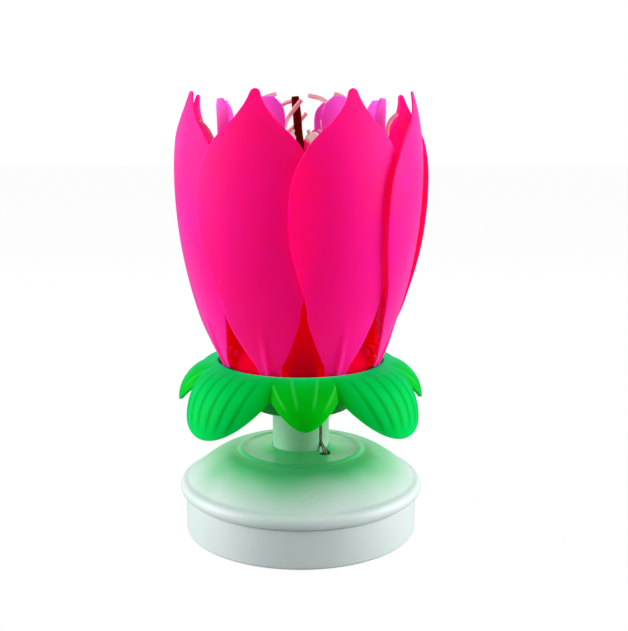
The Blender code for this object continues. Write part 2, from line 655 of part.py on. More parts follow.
def add_dome():
    hole = SPIGOT_RADIUS + GAP
    shoulder = RIM_BOTTOM + RIM_HEIGHT
    groove_radius = RIM_RADIUS - RIM_OVERHANG
    sweep = STEP_RADIUS + STEP_WIDTH / 2
    inside = [(hole, DOME_SEAT - DOME_WALL)]
    for row in range(DOME_INSIDE_ROWS, -1, -1):
        share = row / DOME_INSIDE_ROWS
        radius = groove_radius - DOME_WALL + (sweep - groove_radius) * share
        rise = (DOME_RISE - STEP_RECESS) * math.sin(share * math.pi / 2)
        inside.append((radius, shoulder + rise - DOME_WALL))
    inside.append((groove_radius, RIM_BOTTOM))
    profile = dome_outline() + [(hole, DOME_SEAT)] + inside
    additions = []
    cuts = []
    boss_bottom = PLATE_TOP + GAP
    boss_profile = rod_profile(BOSS_RADIUS, boss_bottom, screw_top() + GAP + DOME_WALL / 2)
    pilot_profile = rod_profile(SCREW_SHANK_RADIUS + GAP, boss_bottom - OVERRUN, screw_top() + GAP)
    for place in screw_places():
        boss = turned_mesh("dome_boss", boss_profile, SMALL_STEPS)
        additions.append(moved_mesh(boss, Matrix.Translation(place)))
        pilot = turned_mesh("dome_pilot", pilot_profile, SMALL_STEPS)
        cuts.append(moved_mesh(pilot, Matrix.Translation(place)))
    drill_profile = rod_profile(WIRE_HOLE_RADIUS, DOME_SEAT - DOME_WALL - OVERRUN, DOME_SEAT + OVERRUN)
    drill = turned_mesh("wire_drill", drill_profile, SMALL_STEPS)
    cuts.append(moved_mesh(drill, Matrix.Translation(polar(wire_hole_offset(), WIRE_AZIMUTH))))
    dome = joined_mesh("base_dome", turned_mesh("dome_blank", profile), additions, cuts)
    add_object("base_dome", dome, "white_plastic")


def wire_hole_offset():
    return SPIGOT_RADIUS + GAP + WIRE_HOLE_GAP + WIRE_HOLE_RADIUS


def screw_top():
    """Top of the dome's screws, kept under the lowest part of the dome over their bosses."""
    return dome_underside(SCREW_OFFSET + BOSS_RADIUS) - GAP


def screw_places():
    return [polar(SCREW_OFFSET, SCREW_AZIMUTH + side * math.pi) for side in (0, 1)]


def add_dome_screws():
    head_top = PLATE_BOTTOM - GAP
    head_bottom = head_top - SCREW_HEAD_THICK
    profile = [(0, head_bottom), (SCREW_HEAD_RADIUS, head_bottom), (SCREW_HEAD_RADIUS, head_top),
               (SCREW_SHANK_RADIUS, head_top), (SCREW_SHANK_RADIUS, screw_top()), (0, screw_top())]
    mesh = turned_mesh("dome_screw", profile, SMALL_STEPS)
    for number, place in enumerate(screw_places(), 1):
        add_object(f"dome_screw_{number}", mesh, "bare_metal").location = place


# Stem and its wires

def add_stem():
    bore = STEM_RADIUS - STEM_WALL
    spigot_bore = SPIGOT_RADIUS - SPIGOT_WALL
    foot = STEM_RADIUS + STEM_FOOT_FLARE
    profile = [
        (spigot_bore, STEM_BOTTOM - SPIGOT_LENGTH), (SPIGOT_RADIUS, STEM_BOTTOM - SPIGOT_LENGTH),
        (SPIGOT_RADIUS, STEM_BOTTOM), (foot, STEM_BOTTOM), (STEM_RADIUS, STEM_BOTTOM + STEM_FOOT_HEIGHT),
        (STEM_RADIUS, STEM_TOP), (SPIGOT_RADIUS, STEM_TOP), (SPIGOT_RADIUS, STEM_TOP + SPIGOT_LENGTH),
        (spigot_bore, STEM_TOP + SPIGOT_LENGTH), (spigot_bore, STEM_TOP - STEM_CAP),
        (bore, STEM_TOP - STEM_CAP), (bore, STEM_BOTTOM + STEM_CAP), (spigot_bore, STEM_BOTTOM + STEM_CAP)]
    slit_bottom = STEM_BOTTOM + STEM_CAP + GAP
    slit_top = STEM_TOP - STEM_CAP - GAP
    slit = box_mesh("stem_slit", STEM_WALL + 2 * OVERRUN, STEM_SLIT, slit_bottom, slit_top)
    middle = polar(STEM_RADIUS - STEM_WALL / 2, WIRE_AZIMUTH)
    slit = moved_mesh(slit, Matrix.Translation(middle) @ Matrix.Rotation(WIRE_AZIMUTH, 4, "Z"))
    blank = turned_mesh("stem_blank", profile, HALF_STEPS)
    add_object("stem", joined_mesh("stem", blank, cuts=[slit]), "white_plastic")


def add_wires():
    """Two enamelled wires from the board, out of the dome's hole, up the stem's slit and into the cup."""
    spacing = 2 * WIRE_RADIUS + WIRE_GAP
    outside = (STEM_RADIUS + STEM_FOOT_FLARE + wire_hole_offset() + WIRE_HOLE_RADIUS) / 2
    in_slit = STEM_RADIUS - STEM_WALL / 2
    in_spigot = (SPIGOT_RADIUS - SPIGOT_WALL) / 2
    board_top = WORKS_BOTTOM + BOARD_THICK + GAP + WIRE_RADIUS
    board_edge = BOARD_WIDTH / 2 - BOARD_BACK_OFFSET - WIRE_RADIUS
    turn_height = STEM_TOP - STEM_CAP - STEM_RADIUS / 2
    for number, side in ((1, 1), (2, -1)):
        shift = side * spacing / 2
        points = [
            Vector((BOARD_SIDE_OFFSET + shift, board_edge, board_top)),
            polar(outside + shift, WIRE_AZIMUTH, (board_top + DOME_SEAT) / 2),
            polar(outside + shift, WIRE_AZIMUTH, DOME_SEAT - DOME_WALL),
            polar(outside + shift, WIRE_AZIMUTH, STEM_BOTTOM + STEM_FOOT_HEIGHT / 2),
            polar(in_slit + shift, WIRE_AZIMUTH, STEM_BOTTOM + 2 * STEM_CAP + STEM_FOOT_HEIGHT),
            polar(in_slit + shift, WIRE_AZIMUTH, turn_height + shift),
            polar(in_spigot + shift, WIRE_AZIMUTH, STEM_TOP - STEM_CAP),
            polar(in_spigot + shift, WIRE_AZIMUTH, STEM_TOP + SPIGOT_LENGTH / 2),
        ]
        wire = tube_mesh("contact_wire", points, WIRE_RADIUS, WIRE_SIDES, WIRE_STEPS)
        add_object(f"contact_wire_{number}", wire, "enamel_brown")


# Receptacle, calyx and the switch inside

def add_receptacle():
    hole = SPIGOT_RADIUS + GAP
    corner = RECEPTACLE_FLOOR
    bottom = RECEPTACLE_BOTTOM
    top = RECEPTACLE_TOP
    flange = RECEPTACLE_TOP_RADIUS + RECEPTACLE_FLANGE
    outside = [(hole, bottom)]
    outside += arc(RECEPTACLE_BASE_RADIUS - corner, bottom + corner, corner, -math.pi / 2, -math.pi / 8, 2)
    outside += [(RECEPTACLE_TOP_RADIUS, CONE_TOP), (flange, top - RECEPTACLE_FLANGE_THICK), (flange, top)]
    inside_top = RECEPTACLE_TOP_RADIUS - RECEPTACLE_WALL
    inside = [(inside_top, top), (inside_top, CONE_TOP),
              (RECEPTACLE_BASE_RADIUS - RECEPTACLE_WALL, CONE_BOTTOM), (hole, CONE_BOTTOM)]
    add_object("receptacle", turned_mesh("receptacle", outside + inside), "leaf_green")

    switch_bottom = bottom + RECEPTACLE_FLOOR + 2 * GAP
    switch_top = switch_bottom + SWITCH_HEIGHT
    body = box_mesh("switch_body", SWITCH_LENGTH, SWITCH_WIDTH, switch_bottom, switch_top)
    button_profile = rod_profile(SWITCH_BUTTON_RADIUS, switch_bottom, switch_top + SWITCH_BUTTON_HEIGHT)
    button = turned_mesh("switch_button", button_profile, SMALL_STEPS)
    add_object("trigger_switch", joined_mesh("trigger_switch", body, [button]), "black_resin")


def sepal_shape(azimuth):
    """(length, curl) of the calyx's skirt at an azimuth: a small sepal in front, then a large one."""
    half_pair = SEPAL_PAIR_ANGLE / 2
    local = abs((azimuth - CALYX_TURN + half_pair) % SEPAL_PAIR_ANGLE - half_pair)
    if local < SEPAL_VALLEY_ANGLE:
        share = local / SEPAL_VALLEY_ANGLE
        peak_length, peak_curl = SEPAL_SMALL_LENGTH, SEPAL_SMALL_CURL
        blunt = SEPAL_SMALL_ROUNDING_SHARE
        bulge = (math.hypot(1, blunt) - math.hypot(share, blunt)) / (math.hypot(1, blunt) - blunt)
    else:
        share = (half_pair - local) / (half_pair - SEPAL_VALLEY_ANGLE)
        peak_length, peak_curl = SEPAL_LARGE_LENGTH, SEPAL_LARGE_CURL
        bulge = 1 - share**2
    length = SEPAL_VALLEY_LENGTH + (peak_length - SEPAL_VALLEY_LENGTH) * bulge
    curl = SEPAL_VALLEY_CURL + (peak_curl - SEPAL_VALLEY_CURL) * bulge
    return length, curl


def calyx_point(azimuth, share):
    """A point on the calyx's upper face, a share of the way from the lip to the edge."""
    length, curl = sepal_shape(azimuth)
    radius, height = CALYX_LIP_RADIUS, CALYX_TOP
    for step in range(CURL_STEPS):
        slope = SEPAL_START_SLOPE + curl * share * (step + 0.5) / CURL_STEPS
        radius += length * share / CURL_STEPS * math.cos(slope)
        height -= length * share / CURL_STEPS * math.sin(slope)
    return polar(radius, azimuth, height)


def add_calyx():
    bm = bmesh.new()
    rows = []
    for row in range(SEPAL_ROWS + 1):
        azimuths = [CALYX_TURN + TURN * step / SEPAL_STEPS for step in range(SEPAL_STEPS)]
        places = [calyx_point(azimuth, row / SEPAL_ROWS) for azimuth in azimuths]
        rows.append([bm.verts.new(place) for place in places])
    for upper, lower in zip(rows, rows[1:]):
        for step in range(SEPAL_STEPS):
            after = (step + 1) % SEPAL_STEPS
            bm.faces.new((upper[step], lower[step], lower[after], upper[after]))
    mesh = bpy.data.meshes.new("calyx")
    bm.to_mesh(mesh)
    bm.free()
    calyx = add_object("calyx", mesh, "leaf_green")
    shell = calyx.modifiers.new("thickness", "SOLIDIFY")
    shell.thickness = CALYX_THICK
    shell.offset = -1


# Petals and what they carry

def petal_azimuth(number):
    """Azimuth of a petal's middle. The first stands to the right of the front, and they run round to it."""
    return -math.pi / 2 + PETAL_TURN + TURN * (number - 0.5) / PETAL_COUNT


def petal_radius(height):
    """Radius of the bud at a height: one arc up to the widest point and a tighter one above."""
    if height < PETAL_PEAK:
        drop, reach = PETAL_PEAK_RADIUS - PETAL_FOOT_RADIUS, PETAL_BELLY_HEIGHT
    else:
        drop, reach = PETAL_TIP_DRAW, PETAL_TOP_HEIGHT
    size = (reach**2 + drop**2) / (2 * drop)
    return PETAL_PEAK_RADIUS - size + math.sqrt(size**2 - (height - PETAL_PEAK) ** 2)


def petal_point(share, across):
    """A point on the outer face of a petal on +X, whose left edge lies outside its neighbour."""
    height = PETAL_FOOT + (PETAL_TIP - PETAL_FOOT) * share
    radius = petal_radius(height)
    half_angle = PETAL_HALF_WIDTH * smooth_share(PETAL_OUTLINE_SHARES, share) / radius
    angle = across * half_angle
    ramp = min(share / PETAL_LAP_SHARE, 1)
    return polar(radius - PETAL_SPIRAL_STEP * ramp * angle / (TURN / PETAL_COUNT), angle, height)


def surface_mesh(name, place, rows, columns, thickness):
    """A sheet of rows and columns, thickened inwards."""
    bm = bmesh.new()
    grid = []
    for row in range(rows + 1):
        points = [place(row / rows, 2 * column / columns - 1) for column in range(columns + 1)]
        grid.append([bm.verts.new(point) for point in points])
    for lower, upper in zip(grid, grid[1:]):
        for column in range(columns):
            bm.faces.new((lower[column], lower[column + 1], upper[column + 1], upper[column]))
    mesh = bpy.data.meshes.new(name)
    bm.to_mesh(mesh)
    bm.free()
    sheet = add_object(name, mesh)
    shell = sheet.modifiers.new("thickness", "SOLIDIFY")
    shell.thickness = thickness
    shell.offset = -1
    shell.use_even_offset = True
    return settled_mesh(sheet)


def sideways_rod(name, radius, half_length, place):
    """A rod along the hinge's direction, which is Y for a petal on +X."""
    rod = turned_mesh(name, rod_profile(radius, -half_length, half_length), TINY_STEPS)
    return moved_mesh(rod, Matrix.Translation(place) @ Matrix.Rotation(math.pi / 2, 4, "X"))


def petal_mesh():
    hinge = Vector((HINGE_RADIUS, 0, HINGE_HEIGHT))
    blade = surface_mesh("petal_blade", petal_point, PETAL_ROWS, PETAL_COLUMNS, PETAL_THICK)
    knuckle = sideways_rod("petal_knuckle", KNUCKLE_RADIUS, KNUCKLE_HALF_LENGTH, hinge)
    reach = petal_radius(HINGE_HEIGHT) - PETAL_THICK / 2 - HINGE_RADIUS
    arm_half = KNUCKLE_RADIUS * ARM_THICK_SHARE
    arm = box_mesh("petal_arm", reach, 2 * KNUCKLE_HALF_LENGTH - GAP, -arm_half, arm_half)
    arm = moved_mesh(arm, Matrix.Translation(hinge + Vector((reach / 2, 0, 0))))
    half_pin = KNUCKLE_HALF_LENGTH + GAP + LUG_THICK
    pin = sideways_rod("petal_trunnion", TRUNNION_RADIUS, half_pin, hinge)
    return joined_mesh("petal", blade, [arm, knuckle, pin])


def leaf_line(share):
    """(radius, height) of the leaf's outer face, which lies on the petal's inner face at its foot."""
    height = PETAL_FOOT + LEAF_FOOT + LEAF_HEIGHT * share
    foot_radius = petal_radius(PETAL_FOOT + LEAF_FOOT) - PETAL_THICK - 2 * GAP
    return foot_radius - LEAF_LEAN * math.sin(share * math.pi / 2), height


def leaf_point(share, across):
    radius, height = leaf_line(share)
    half_angle = LEAF_HALF_WIDTH * smooth_share(LEAF_OUTLINE_SHARES, share) / radius
    return polar(radius, across * half_angle, height)


def candle_frame():
    """The place of a candle's foot and the turn from +Z to its axis."""
    radius, height = leaf_line(CANDLE_SEAT_SHARE)
    turn = Matrix.Rotation(-CANDLE_TILT, 4, "Y")
    return Matrix.Translation((radius - LEAF_THICK / 2, 0, height)) @ turn


def stamen_paths():
    """Two hand-set paths, one leaning out to the side and one curling in over the middle."""
    radius, top = leaf_line(1.0)
    middle = radius - LEAF_THICK / 2
    paths = []
    for shares, outward in ((OUTER_STAMEN_SHARES, STAMEN_SPREAD), (INNER_STAMEN_SHARES, STAMEN_REACH)):
        paths.append([Vector((middle + outward * out, STAMEN_SPREAD * aside, top - STAMEN_REACH * down))
                      for out, aside, down in shares])
    return paths


def leaf_mesh():
    blade = surface_mesh("leaf_blade", leaf_point, LEAF_ROWS, LEAF_COLUMNS, LEAF_THICK)
    cup = turned_mesh("leaf_cup", rod_profile(CUP_RADIUS, 0, CUP_LENGTH), TINY_STEPS)
    cup = moved_mesh(cup, candle_frame())
    bore_profile = rod_profile(CANDLE_RADIUS + GAP, CUP_LENGTH - CUP_DEPTH, CUP_LENGTH + OVERRUN)
    bore = moved_mesh(turned_mesh("leaf_cup_bore", bore_profile, TINY_STEPS), candle_frame())
    stamens = [tube_mesh("stamen", path, STAMEN_RADIUS, WIRE_SIDES, STAMEN_STEPS) for path in stamen_paths()]
    return joined_mesh("leaf", blade, [*stamens, cup], [bore])


def add_petals():
    petal = petal_mesh()
    leaf = leaf_mesh()
    foot = CUP_LENGTH - CUP_DEPTH + GAP
    top = foot + CANDLE_LENGTH
    bore = WICK_RADIUS + GAP
    bore_bottom = top - WICK_LENGTH / 2
    candle_profile = [(0, foot), (CANDLE_RADIUS, foot), (CANDLE_RADIUS, top), (bore, top),
                      (bore, bore_bottom), (0, bore_bottom)]
    candle = moved_mesh(turned_mesh("candle", candle_profile, TINY_STEPS), candle_frame())
    wick_profile = rod_profile(WICK_RADIUS, bore_bottom + GAP, top + WICK_LENGTH)
    wick = moved_mesh(turned_mesh("wick", wick_profile, TINY_STEPS), candle_frame())
    pieces = (("petal", petal, "hot_pink"), ("candle_leaf", leaf, "pale_pink"),
              ("candle", candle, "candle_wax"), ("candle_wick", wick, "cotton"))
    hinge = Vector((HINGE_RADIUS, 0, HINGE_HEIGHT))
    for name, mesh, finish in pieces:
        mesh.transform(Matrix.Translation(-hinge))
    for number in range(1, PETAL_COUNT + 1):
        azimuth = petal_azimuth(number)
        pivot = bpy.data.objects.new(f"petal_hinge_{number}", None)
        bpy.context.scene.collection.objects.link(pivot)
        pivot.location = polar(HINGE_RADIUS, azimuth, HINGE_HEIGHT)
        pivot.rotation_euler.z = azimuth
        for name, mesh, finish in pieces:
            add_object(f"{name}_{number}", mesh, finish).parent = pivot


def add_carrier():
    """The flower's heart: a cup with two hinge lugs for each petal, a raised lobe in each space
    between two petals' feet, and the fountain tube's socket."""
    floor_top = CARRIER_BOTTOM + CARRIER_FLOOR
    rim = HINGE_HEIGHT + CARRIER_RISE
    socket = FOUNTAIN_RADIUS + GAP
    socket_outside = socket + SOCKET_WALL
    socket_top = floor_top + SOCKET_HEIGHT
    inner = CARRIER_RADIUS - CARRIER_WALL
    profile = [(0, CARRIER_BOTTOM), (CARRIER_RADIUS, CARRIER_BOTTOM), (CARRIER_RADIUS, rim), (inner, rim),
               (inner, floor_top), (socket_outside, floor_top), (socket_outside, socket_top),
               (socket, socket_top), (socket, floor_top), (0, floor_top)]
    lug_middle = KNUCKLE_HALF_LENGTH + GAP + LUG_THICK / 2
    arm_length = HINGE_RADIUS - CARRIER_RADIUS + CARRIER_WALL / 2
    lug_outline = [(-arm_length, -LUG_RADIUS), *arc(0, 0, LUG_RADIUS, -math.pi / 2, math.pi / 2, ARC_STEPS),
                   (-arm_length, LUG_RADIUS)]
    drill_reach = lug_middle + LUG_THICK
    drill_profile = rod_profile(TRUNNION_RADIUS + GAP, -drill_reach, drill_reach)
    lie_down = Matrix.Rotation(math.pi / 2, 4, "X")
    lugs = []
    drills = []
    for number in range(1, PETAL_COUNT + 1):
        place = Matrix.Rotation(petal_azimuth(number), 4, "Z")
        for side in (-1, 1):
            lug = extruded_mesh("lug", lug_outline, -LUG_THICK / 2, LUG_THICK / 2)
            stand = Matrix.Translation((HINGE_RADIUS, side * lug_middle, HINGE_HEIGHT))
            lugs.append(moved_mesh(lug, place @ stand @ lie_down))
        hinge = Matrix.Translation((HINGE_RADIUS, 0, HINGE_HEIGHT))
        drill = turned_mesh("lug_drill", drill_profile, TINY_STEPS)
        drills.append(moved_mesh(drill, place @ hinge @ lie_down))
    lobes = []
    lobe_bottom, lobe_top = RECEPTACLE_TOP + 2 * GAP, PETAL_FOOT + LOBE_RISE
    for number in range(1, PETAL_COUNT + 1):
        middle = petal_azimuth(number + 0.5)
        turns = [middle + LOBE_HALF_ANGLE * (2 * step / LOBE_STEPS - 1) for step in range(LOBE_STEPS + 1)]
        inside = [polar(CARRIER_RADIUS - CARRIER_WALL / 2, turn).xy for turn in turns[::-1]]
        outside = [polar(CARRIER_RADIUS + LOBE_REACH, turn).xy for turn in turns]
        lobes.append(extruded_mesh("lobe", outside + inside, lobe_bottom, lobe_top))
    cup = turned_mesh("carrier_blank", profile, HALF_STEPS)
    carrier = joined_mesh("petal_carrier", cup, lobes + lugs, drills)
    add_object("petal_carrier", carrier, "deep_pink")


def add_fountain():
    fuse_hole = FUSE_RADIUS + GAP
    hole_bottom = FOUNTAIN_TOP - FUSE_RADIUS
    tube = [(0, FOUNTAIN_BOTTOM), (FOUNTAIN_RADIUS, FOUNTAIN_BOTTOM), (FOUNTAIN_RADIUS, FOUNTAIN_TOP),
            (fuse_hole, FOUNTAIN_TOP), (fuse_hole, hole_bottom), (0, hole_bottom)]
    add_object("fountain_tube", turned_mesh("fountain_tube", tube, HALF_STEPS), "card")
    stick = turned_mesh("fuse", rod_profile(FUSE_RADIUS, 0, FUSE_HEIGHT), TINY_STEPS)
    stick = moved_mesh(stick, Matrix.Rotation(FUSE_LEAN, 4, "Y"))
    add_object("fuse", stick, "fuse_red").location.z = hole_bottom + GAP + FUSE_LIFT


def add_thread():
    """The thread that holds the bud shut: a loop round the fountain tube and an end to each leaf."""
    inner = FOUNTAIN_RADIUS + GAP
    outer = inner + THREAD_WIDTH
    leaf_share = (THREAD_LEVEL - PETAL_FOOT - LEAF_FOOT) / LEAF_HEIGHT
    end = leaf_line(leaf_share)[0] - LEAF_THICK - GAP
    half = THREAD_WIDTH / 2
    outline = []
    for number in range(1, PETAL_COUNT + 1):
        turn = Matrix.Rotation(petal_azimuth(number), 2)
        between = Matrix.Rotation(petal_azimuth(number + 0.5), 2)
        for corner in ((outer, -half), (end, -half), (end, half), (outer, half)):
            outline.append(turn @ Vector(corner))
        outline.append(between @ Vector((outer, 0)))
    top = THREAD_LEVEL + THREAD_WIDTH
    star = extruded_mesh("thread_star", outline, THREAD_LEVEL, top)
    hole = turned_mesh("thread_hole", rod_profile(inner, THREAD_LEVEL - OVERRUN, top + OVERRUN), HALF_STEPS)
    add_object("hold_thread", joined_mesh("hold_thread", star, cuts=[hole]), "cotton")


def main():
    clear_scene()
    add_tray()
    add_gears()
    add_plate()
    add_music_module()
    add_dome()
    add_dome_screws()
    add_stem()
    add_wires()
    add_receptacle()
    add_calyx()
    add_carrier()
    add_fountain()
    add_thread()
    add_petals()


main()
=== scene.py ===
# %% [markdown]
# # A lotus bud that opens, plays a tune and spins
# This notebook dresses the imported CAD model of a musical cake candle. A round white base carries a short
# stem, a green calyx and eight pink petals. The petals are hinged at their feet, and each one carries a
# leaf with stamens and a small candle. All lengths are in metres, and the object stands on the origin.

# %% Load the fixed frame
import math

import bpy
from mathutils import Matrix, Vector


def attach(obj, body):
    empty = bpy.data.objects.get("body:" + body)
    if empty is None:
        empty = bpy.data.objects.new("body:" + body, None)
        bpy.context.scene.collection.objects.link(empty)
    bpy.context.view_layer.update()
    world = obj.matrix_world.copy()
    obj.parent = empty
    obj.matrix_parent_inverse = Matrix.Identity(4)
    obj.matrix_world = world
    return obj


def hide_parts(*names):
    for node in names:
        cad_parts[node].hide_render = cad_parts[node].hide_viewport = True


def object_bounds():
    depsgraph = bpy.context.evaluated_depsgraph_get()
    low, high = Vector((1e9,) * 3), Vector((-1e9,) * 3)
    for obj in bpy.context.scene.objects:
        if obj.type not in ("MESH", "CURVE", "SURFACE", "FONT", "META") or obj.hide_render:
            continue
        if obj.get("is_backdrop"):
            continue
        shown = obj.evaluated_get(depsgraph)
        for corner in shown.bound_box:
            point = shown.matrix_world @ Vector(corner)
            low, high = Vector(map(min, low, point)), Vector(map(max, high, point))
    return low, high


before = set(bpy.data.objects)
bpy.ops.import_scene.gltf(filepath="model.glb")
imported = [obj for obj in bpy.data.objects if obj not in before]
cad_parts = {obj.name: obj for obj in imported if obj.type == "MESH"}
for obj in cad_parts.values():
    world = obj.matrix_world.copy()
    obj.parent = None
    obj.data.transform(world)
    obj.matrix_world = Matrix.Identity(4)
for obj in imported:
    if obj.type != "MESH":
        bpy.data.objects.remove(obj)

cad_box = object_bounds()
MM = 0.001
TURN = 2 * math.pi
MERGE = 0.002 * MM
SHARP = math.radians(60)

# %% [markdown]
# ## Camera
# A camera fitted to the base's two ellipses stands 240 mm in front of the object, a little above the
# middle, and looks down by ten degrees. The object stands left of the picture's middle, so the lens is
# shifted and the camera isn't turned.

# %% Set the camera
CAMERA_PLACE = (0, -0.23996, 0.09689)
CAMERA_DOWN = math.radians(10.268)
bpy.ops.object.camera_add(location=CAMERA_PLACE, rotation=(math.pi / 2 - CAMERA_DOWN, 0, 0))
camera = bpy.context.object
camera.data.sensor_width = 36
camera.data.lens = 56.97
camera.data.shift_x = 0.0209
bpy.context.scene.camera = camera
print("camera looks down by", round(math.degrees(CAMERA_DOWN), 1), "degrees")

# %% [markdown]
# ## Light and room
# The photograph is lit from both sides by large soft lamps on plain white paper, so the front of each
# round form is darker than its sides. Two big area lamps stand beside the object, a weaker one stands
# behind it and a very faint one over the camera. The world gives a level grey light, and it looks white
# to the camera and in reflections only.

# %% Place the lamps
LIT_POINT = Vector((0, 0, 0.065))


def lamp(name, azimuth, height, reach, size, power):
    """A square area lamp at an azimuth, turned to face the middle of the object."""
    place = Vector((reach * math.cos(azimuth), reach * math.sin(azimuth), height))
    aim = (LIT_POINT - place).to_track_quat("-Z", "Y").to_euler()
    bpy.ops.object.light_add(type="AREA", location=place, rotation=aim)
    made = bpy.context.object
    made.name = name
    made.data.size = size
    made.data.energy = power


SIDE_AZIMUTH = math.radians(-4)
lamp("left_lamp", math.pi - SIDE_AZIMUTH, height=0.22, reach=0.60, size=0.55, power=4.9)
lamp("right_lamp", SIDE_AZIMUTH, height=0.22, reach=0.60, size=0.55, power=5.0)
lamp("front_lamp", math.radians(-90), height=0.18, reach=0.17, size=0.12, power=0.02)
lamp("back_lamp", math.radians(90), height=0.30, reach=0.40, size=0.3, power=0.6)

# %% Helpers for shader nodes
def give(tree, socket, value):
    """Link a socket to another one, or set it to a number or a colour."""
    if isinstance(value, bpy.types.NodeSocket):
        tree.links.new(value, socket)
    else:
        socket.default_value = value


def feed(tree, node, **values):
    """Give a node's named inputs these values, and return the node."""
    for label, value in values.items():
        give(tree, node.inputs[label.replace("_", " ")], value)
    return node


def add_node(tree, kind, **values):
    """A new shader node with its named inputs fed."""
    return feed(tree, tree.nodes.new("ShaderNode" + kind), **values)


def math_node(tree, operation, first, second):
    """A Math node. Each value may be a socket or a number."""
    node = add_node(tree, "Math")
    node.operation = operation
    give(tree, node.inputs[0], first)
    give(tree, node.inputs[1], second)
    return node.outputs[0]


def mixed_shader(tree, factor, first, second, output):
    """Mix two shaders by a socket, and lead the result to an output's surface."""
    mix = add_node(tree, "MixShader", Fac=factor)
    give(tree, mix.inputs[1], first.outputs[0])
    give(tree, mix.inputs[2], second.outputs[0])
    feed(tree, output, Surface=mix.outputs[0])


print("helpers for shader nodes ready")

# %% Light the room
WORLD_LEVEL = 0.14
world = bpy.data.worlds.new("studio")
bpy.context.scene.world = world
world.use_nodes = True
sky = world.node_tree
lit = feed(sky, sky.nodes["Background"], Color=(1, 1, 1, 1), Strength=WORLD_LEVEL)
seen = add_node(sky, "Background", Color=(1, 1, 1, 1), Strength=1.0)
rays = add_node(sky, "LightPath").outputs
mirrored = math_node(sky, "MAXIMUM", rays["Is Glossy Ray"], rays["Is Transmission Ray"])
shown = math_node(sky, "MAXIMUM", rays["Is Camera Ray"], mirrored)
mixed_shader(sky, shown, lit, seen, sky.nodes["World Output"])
print("the world lights at", WORLD_LEVEL)

# %% Lay the floor
PAPER_WHITE, PAPER_SHARE = 1.05, 0.92
paper = bpy.data.materials.new("white_paper")
paper.use_nodes = True
tree = paper.node_tree
sheet = feed(tree, tree.nodes["Principled BSDF"], Base_Color=(0.5, 0.5, 0.5, 1), Roughness=0.9,
             Specular_IOR_Level=0.1)
white = add_node(tree, "Emission", Strength=PAPER_WHITE)
rays = add_node(tree, "LightPath").outputs
share = math_node(tree, "MULTIPLY", rays["Is Camera Ray"], PAPER_SHARE)
mixed_shader(tree, share, sheet, white, tree.nodes["Material Output"])
bpy.ops.object.select_all(action="DESELECT")
bpy.ops.mesh.primitive_plane_add(size=6, location=(0, 0, -0.0002))
floor = bpy.context.object
floor.name = "floor"
floor.data.materials.append(paper)
floor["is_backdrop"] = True
bpy.context.scene.view_settings.view_transform = "Standard"
print("floor under the tray's foot at z", round(floor.location.z, 4))

# %% [markdown]
# ## Small tools
# Every piece starts from one of Blender's primitives. Four helpers are used again and again: `pick`
# selects what the next operator acts on, `carry_out` adds a modifier and applies it, `close_up` merges
# doubled points and turns the faces outwards, and `coat` gives a piece its finish.

# %% Selecting, applying and closing
def pick(*pieces):
    """Select only these pieces and make the first one active."""
    if bpy.context.object and bpy.context.object.mode == "EDIT":
        bpy.ops.object.mode_set(mode="OBJECT")
    bpy.ops.object.select_all(action="DESELECT")
    for piece in pieces:
        piece.select_set(True)
    if pieces:
        bpy.context.view_layer.objects.active = pieces[0]


def carry_out(piece, kind, **settings):
    """Add a modifier with these settings and apply it."""
    pick(piece)
    modifier = piece.modifiers.new(kind.lower(), kind)
    for setting, value in settings.items():
        setattr(modifier, setting, value)
    bpy.ops.object.modifier_apply(modifier=modifier.name)


def close_up(piece):
    """Merge doubled points and turn all faces outwards."""
    pick(piece)
    bpy.ops.object.mode_set(mode="EDIT")
    bpy.ops.mesh.select_all(action="SELECT")
    bpy.ops.mesh.remove_doubles(threshold=MERGE)
    bpy.ops.mesh.normals_make_consistent(inside=False)
    bpy.ops.object.mode_set(mode="OBJECT")


print("tools ready")

# %% Coating, joining, cutting and copying
def coat(piece, material, angle=40):
    """Give a piece this finish alone, and shade it smooth where faces meet at less than this angle."""
    pick(piece)
    bpy.ops.object.shade_smooth_by_angle(angle=math.radians(angle))
    piece.data.materials.clear()
    piece.data.materials.append(material)


def joined(name, *pieces):
    """Join pieces into the first one."""
    pick(*pieces)
    bpy.ops.object.join()
    pieces[0].name = name
    return pieces[0]


def cut(piece, tool):
    """Cut the tool's shape out of the piece, then throw the tool away."""
    carry_out(piece, "BOOLEAN", operation="DIFFERENCE", solver="EXACT", object=tool)
    bpy.data.objects.remove(tool)


def cylinder(vertices, radius, depth, location, **more):
    """A new cylinder, with its sizes in mm and its place in metres."""
    pick()
    bpy.ops.mesh.primitive_cylinder_add(vertices=vertices, radius=radius * MM, depth=depth * MM,
                                        location=location, **more)
    return bpy.context.object


def block(sizes, location, **more):
    """A new block, with its sizes in mm and its place in metres."""
    pick()
    scale = [size * MM for size in sizes]
    bpy.ops.mesh.primitive_cube_add(size=1, scale=scale, location=location, **more)
    return bpy.context.object


def copy_turned(piece, name, turn):
    """A copy with its own mesh, turned about the object's axis."""
    made = piece.copy()
    made.data = piece.data.copy()
    made.data.transform(Matrix.Rotation(turn, 4, "Z"))
    made.name = name
    bpy.context.scene.collection.objects.link(made)
    return made


def count(piece):
    piece.data.calc_loop_triangles()
    return len(piece.data.loop_triangles)


print("more tools ready")

# %% [markdown]
# A round piece is turned as on a lathe. One point is drawn along the outline by extruding it, and the
# line is then spun about the upright axis. An arc in the outline is only a list of points.

# %% Turning round pieces
def arc(radius, height, size, first, last, steps=8):
    """Points of (radius, height) on an arc, from one angle in degrees to another."""
    angles = [math.radians(first + (last - first) * step / steps) for step in range(steps + 1)]
    return [(radius + size * math.cos(a), height + size * math.sin(a)) for a in angles]


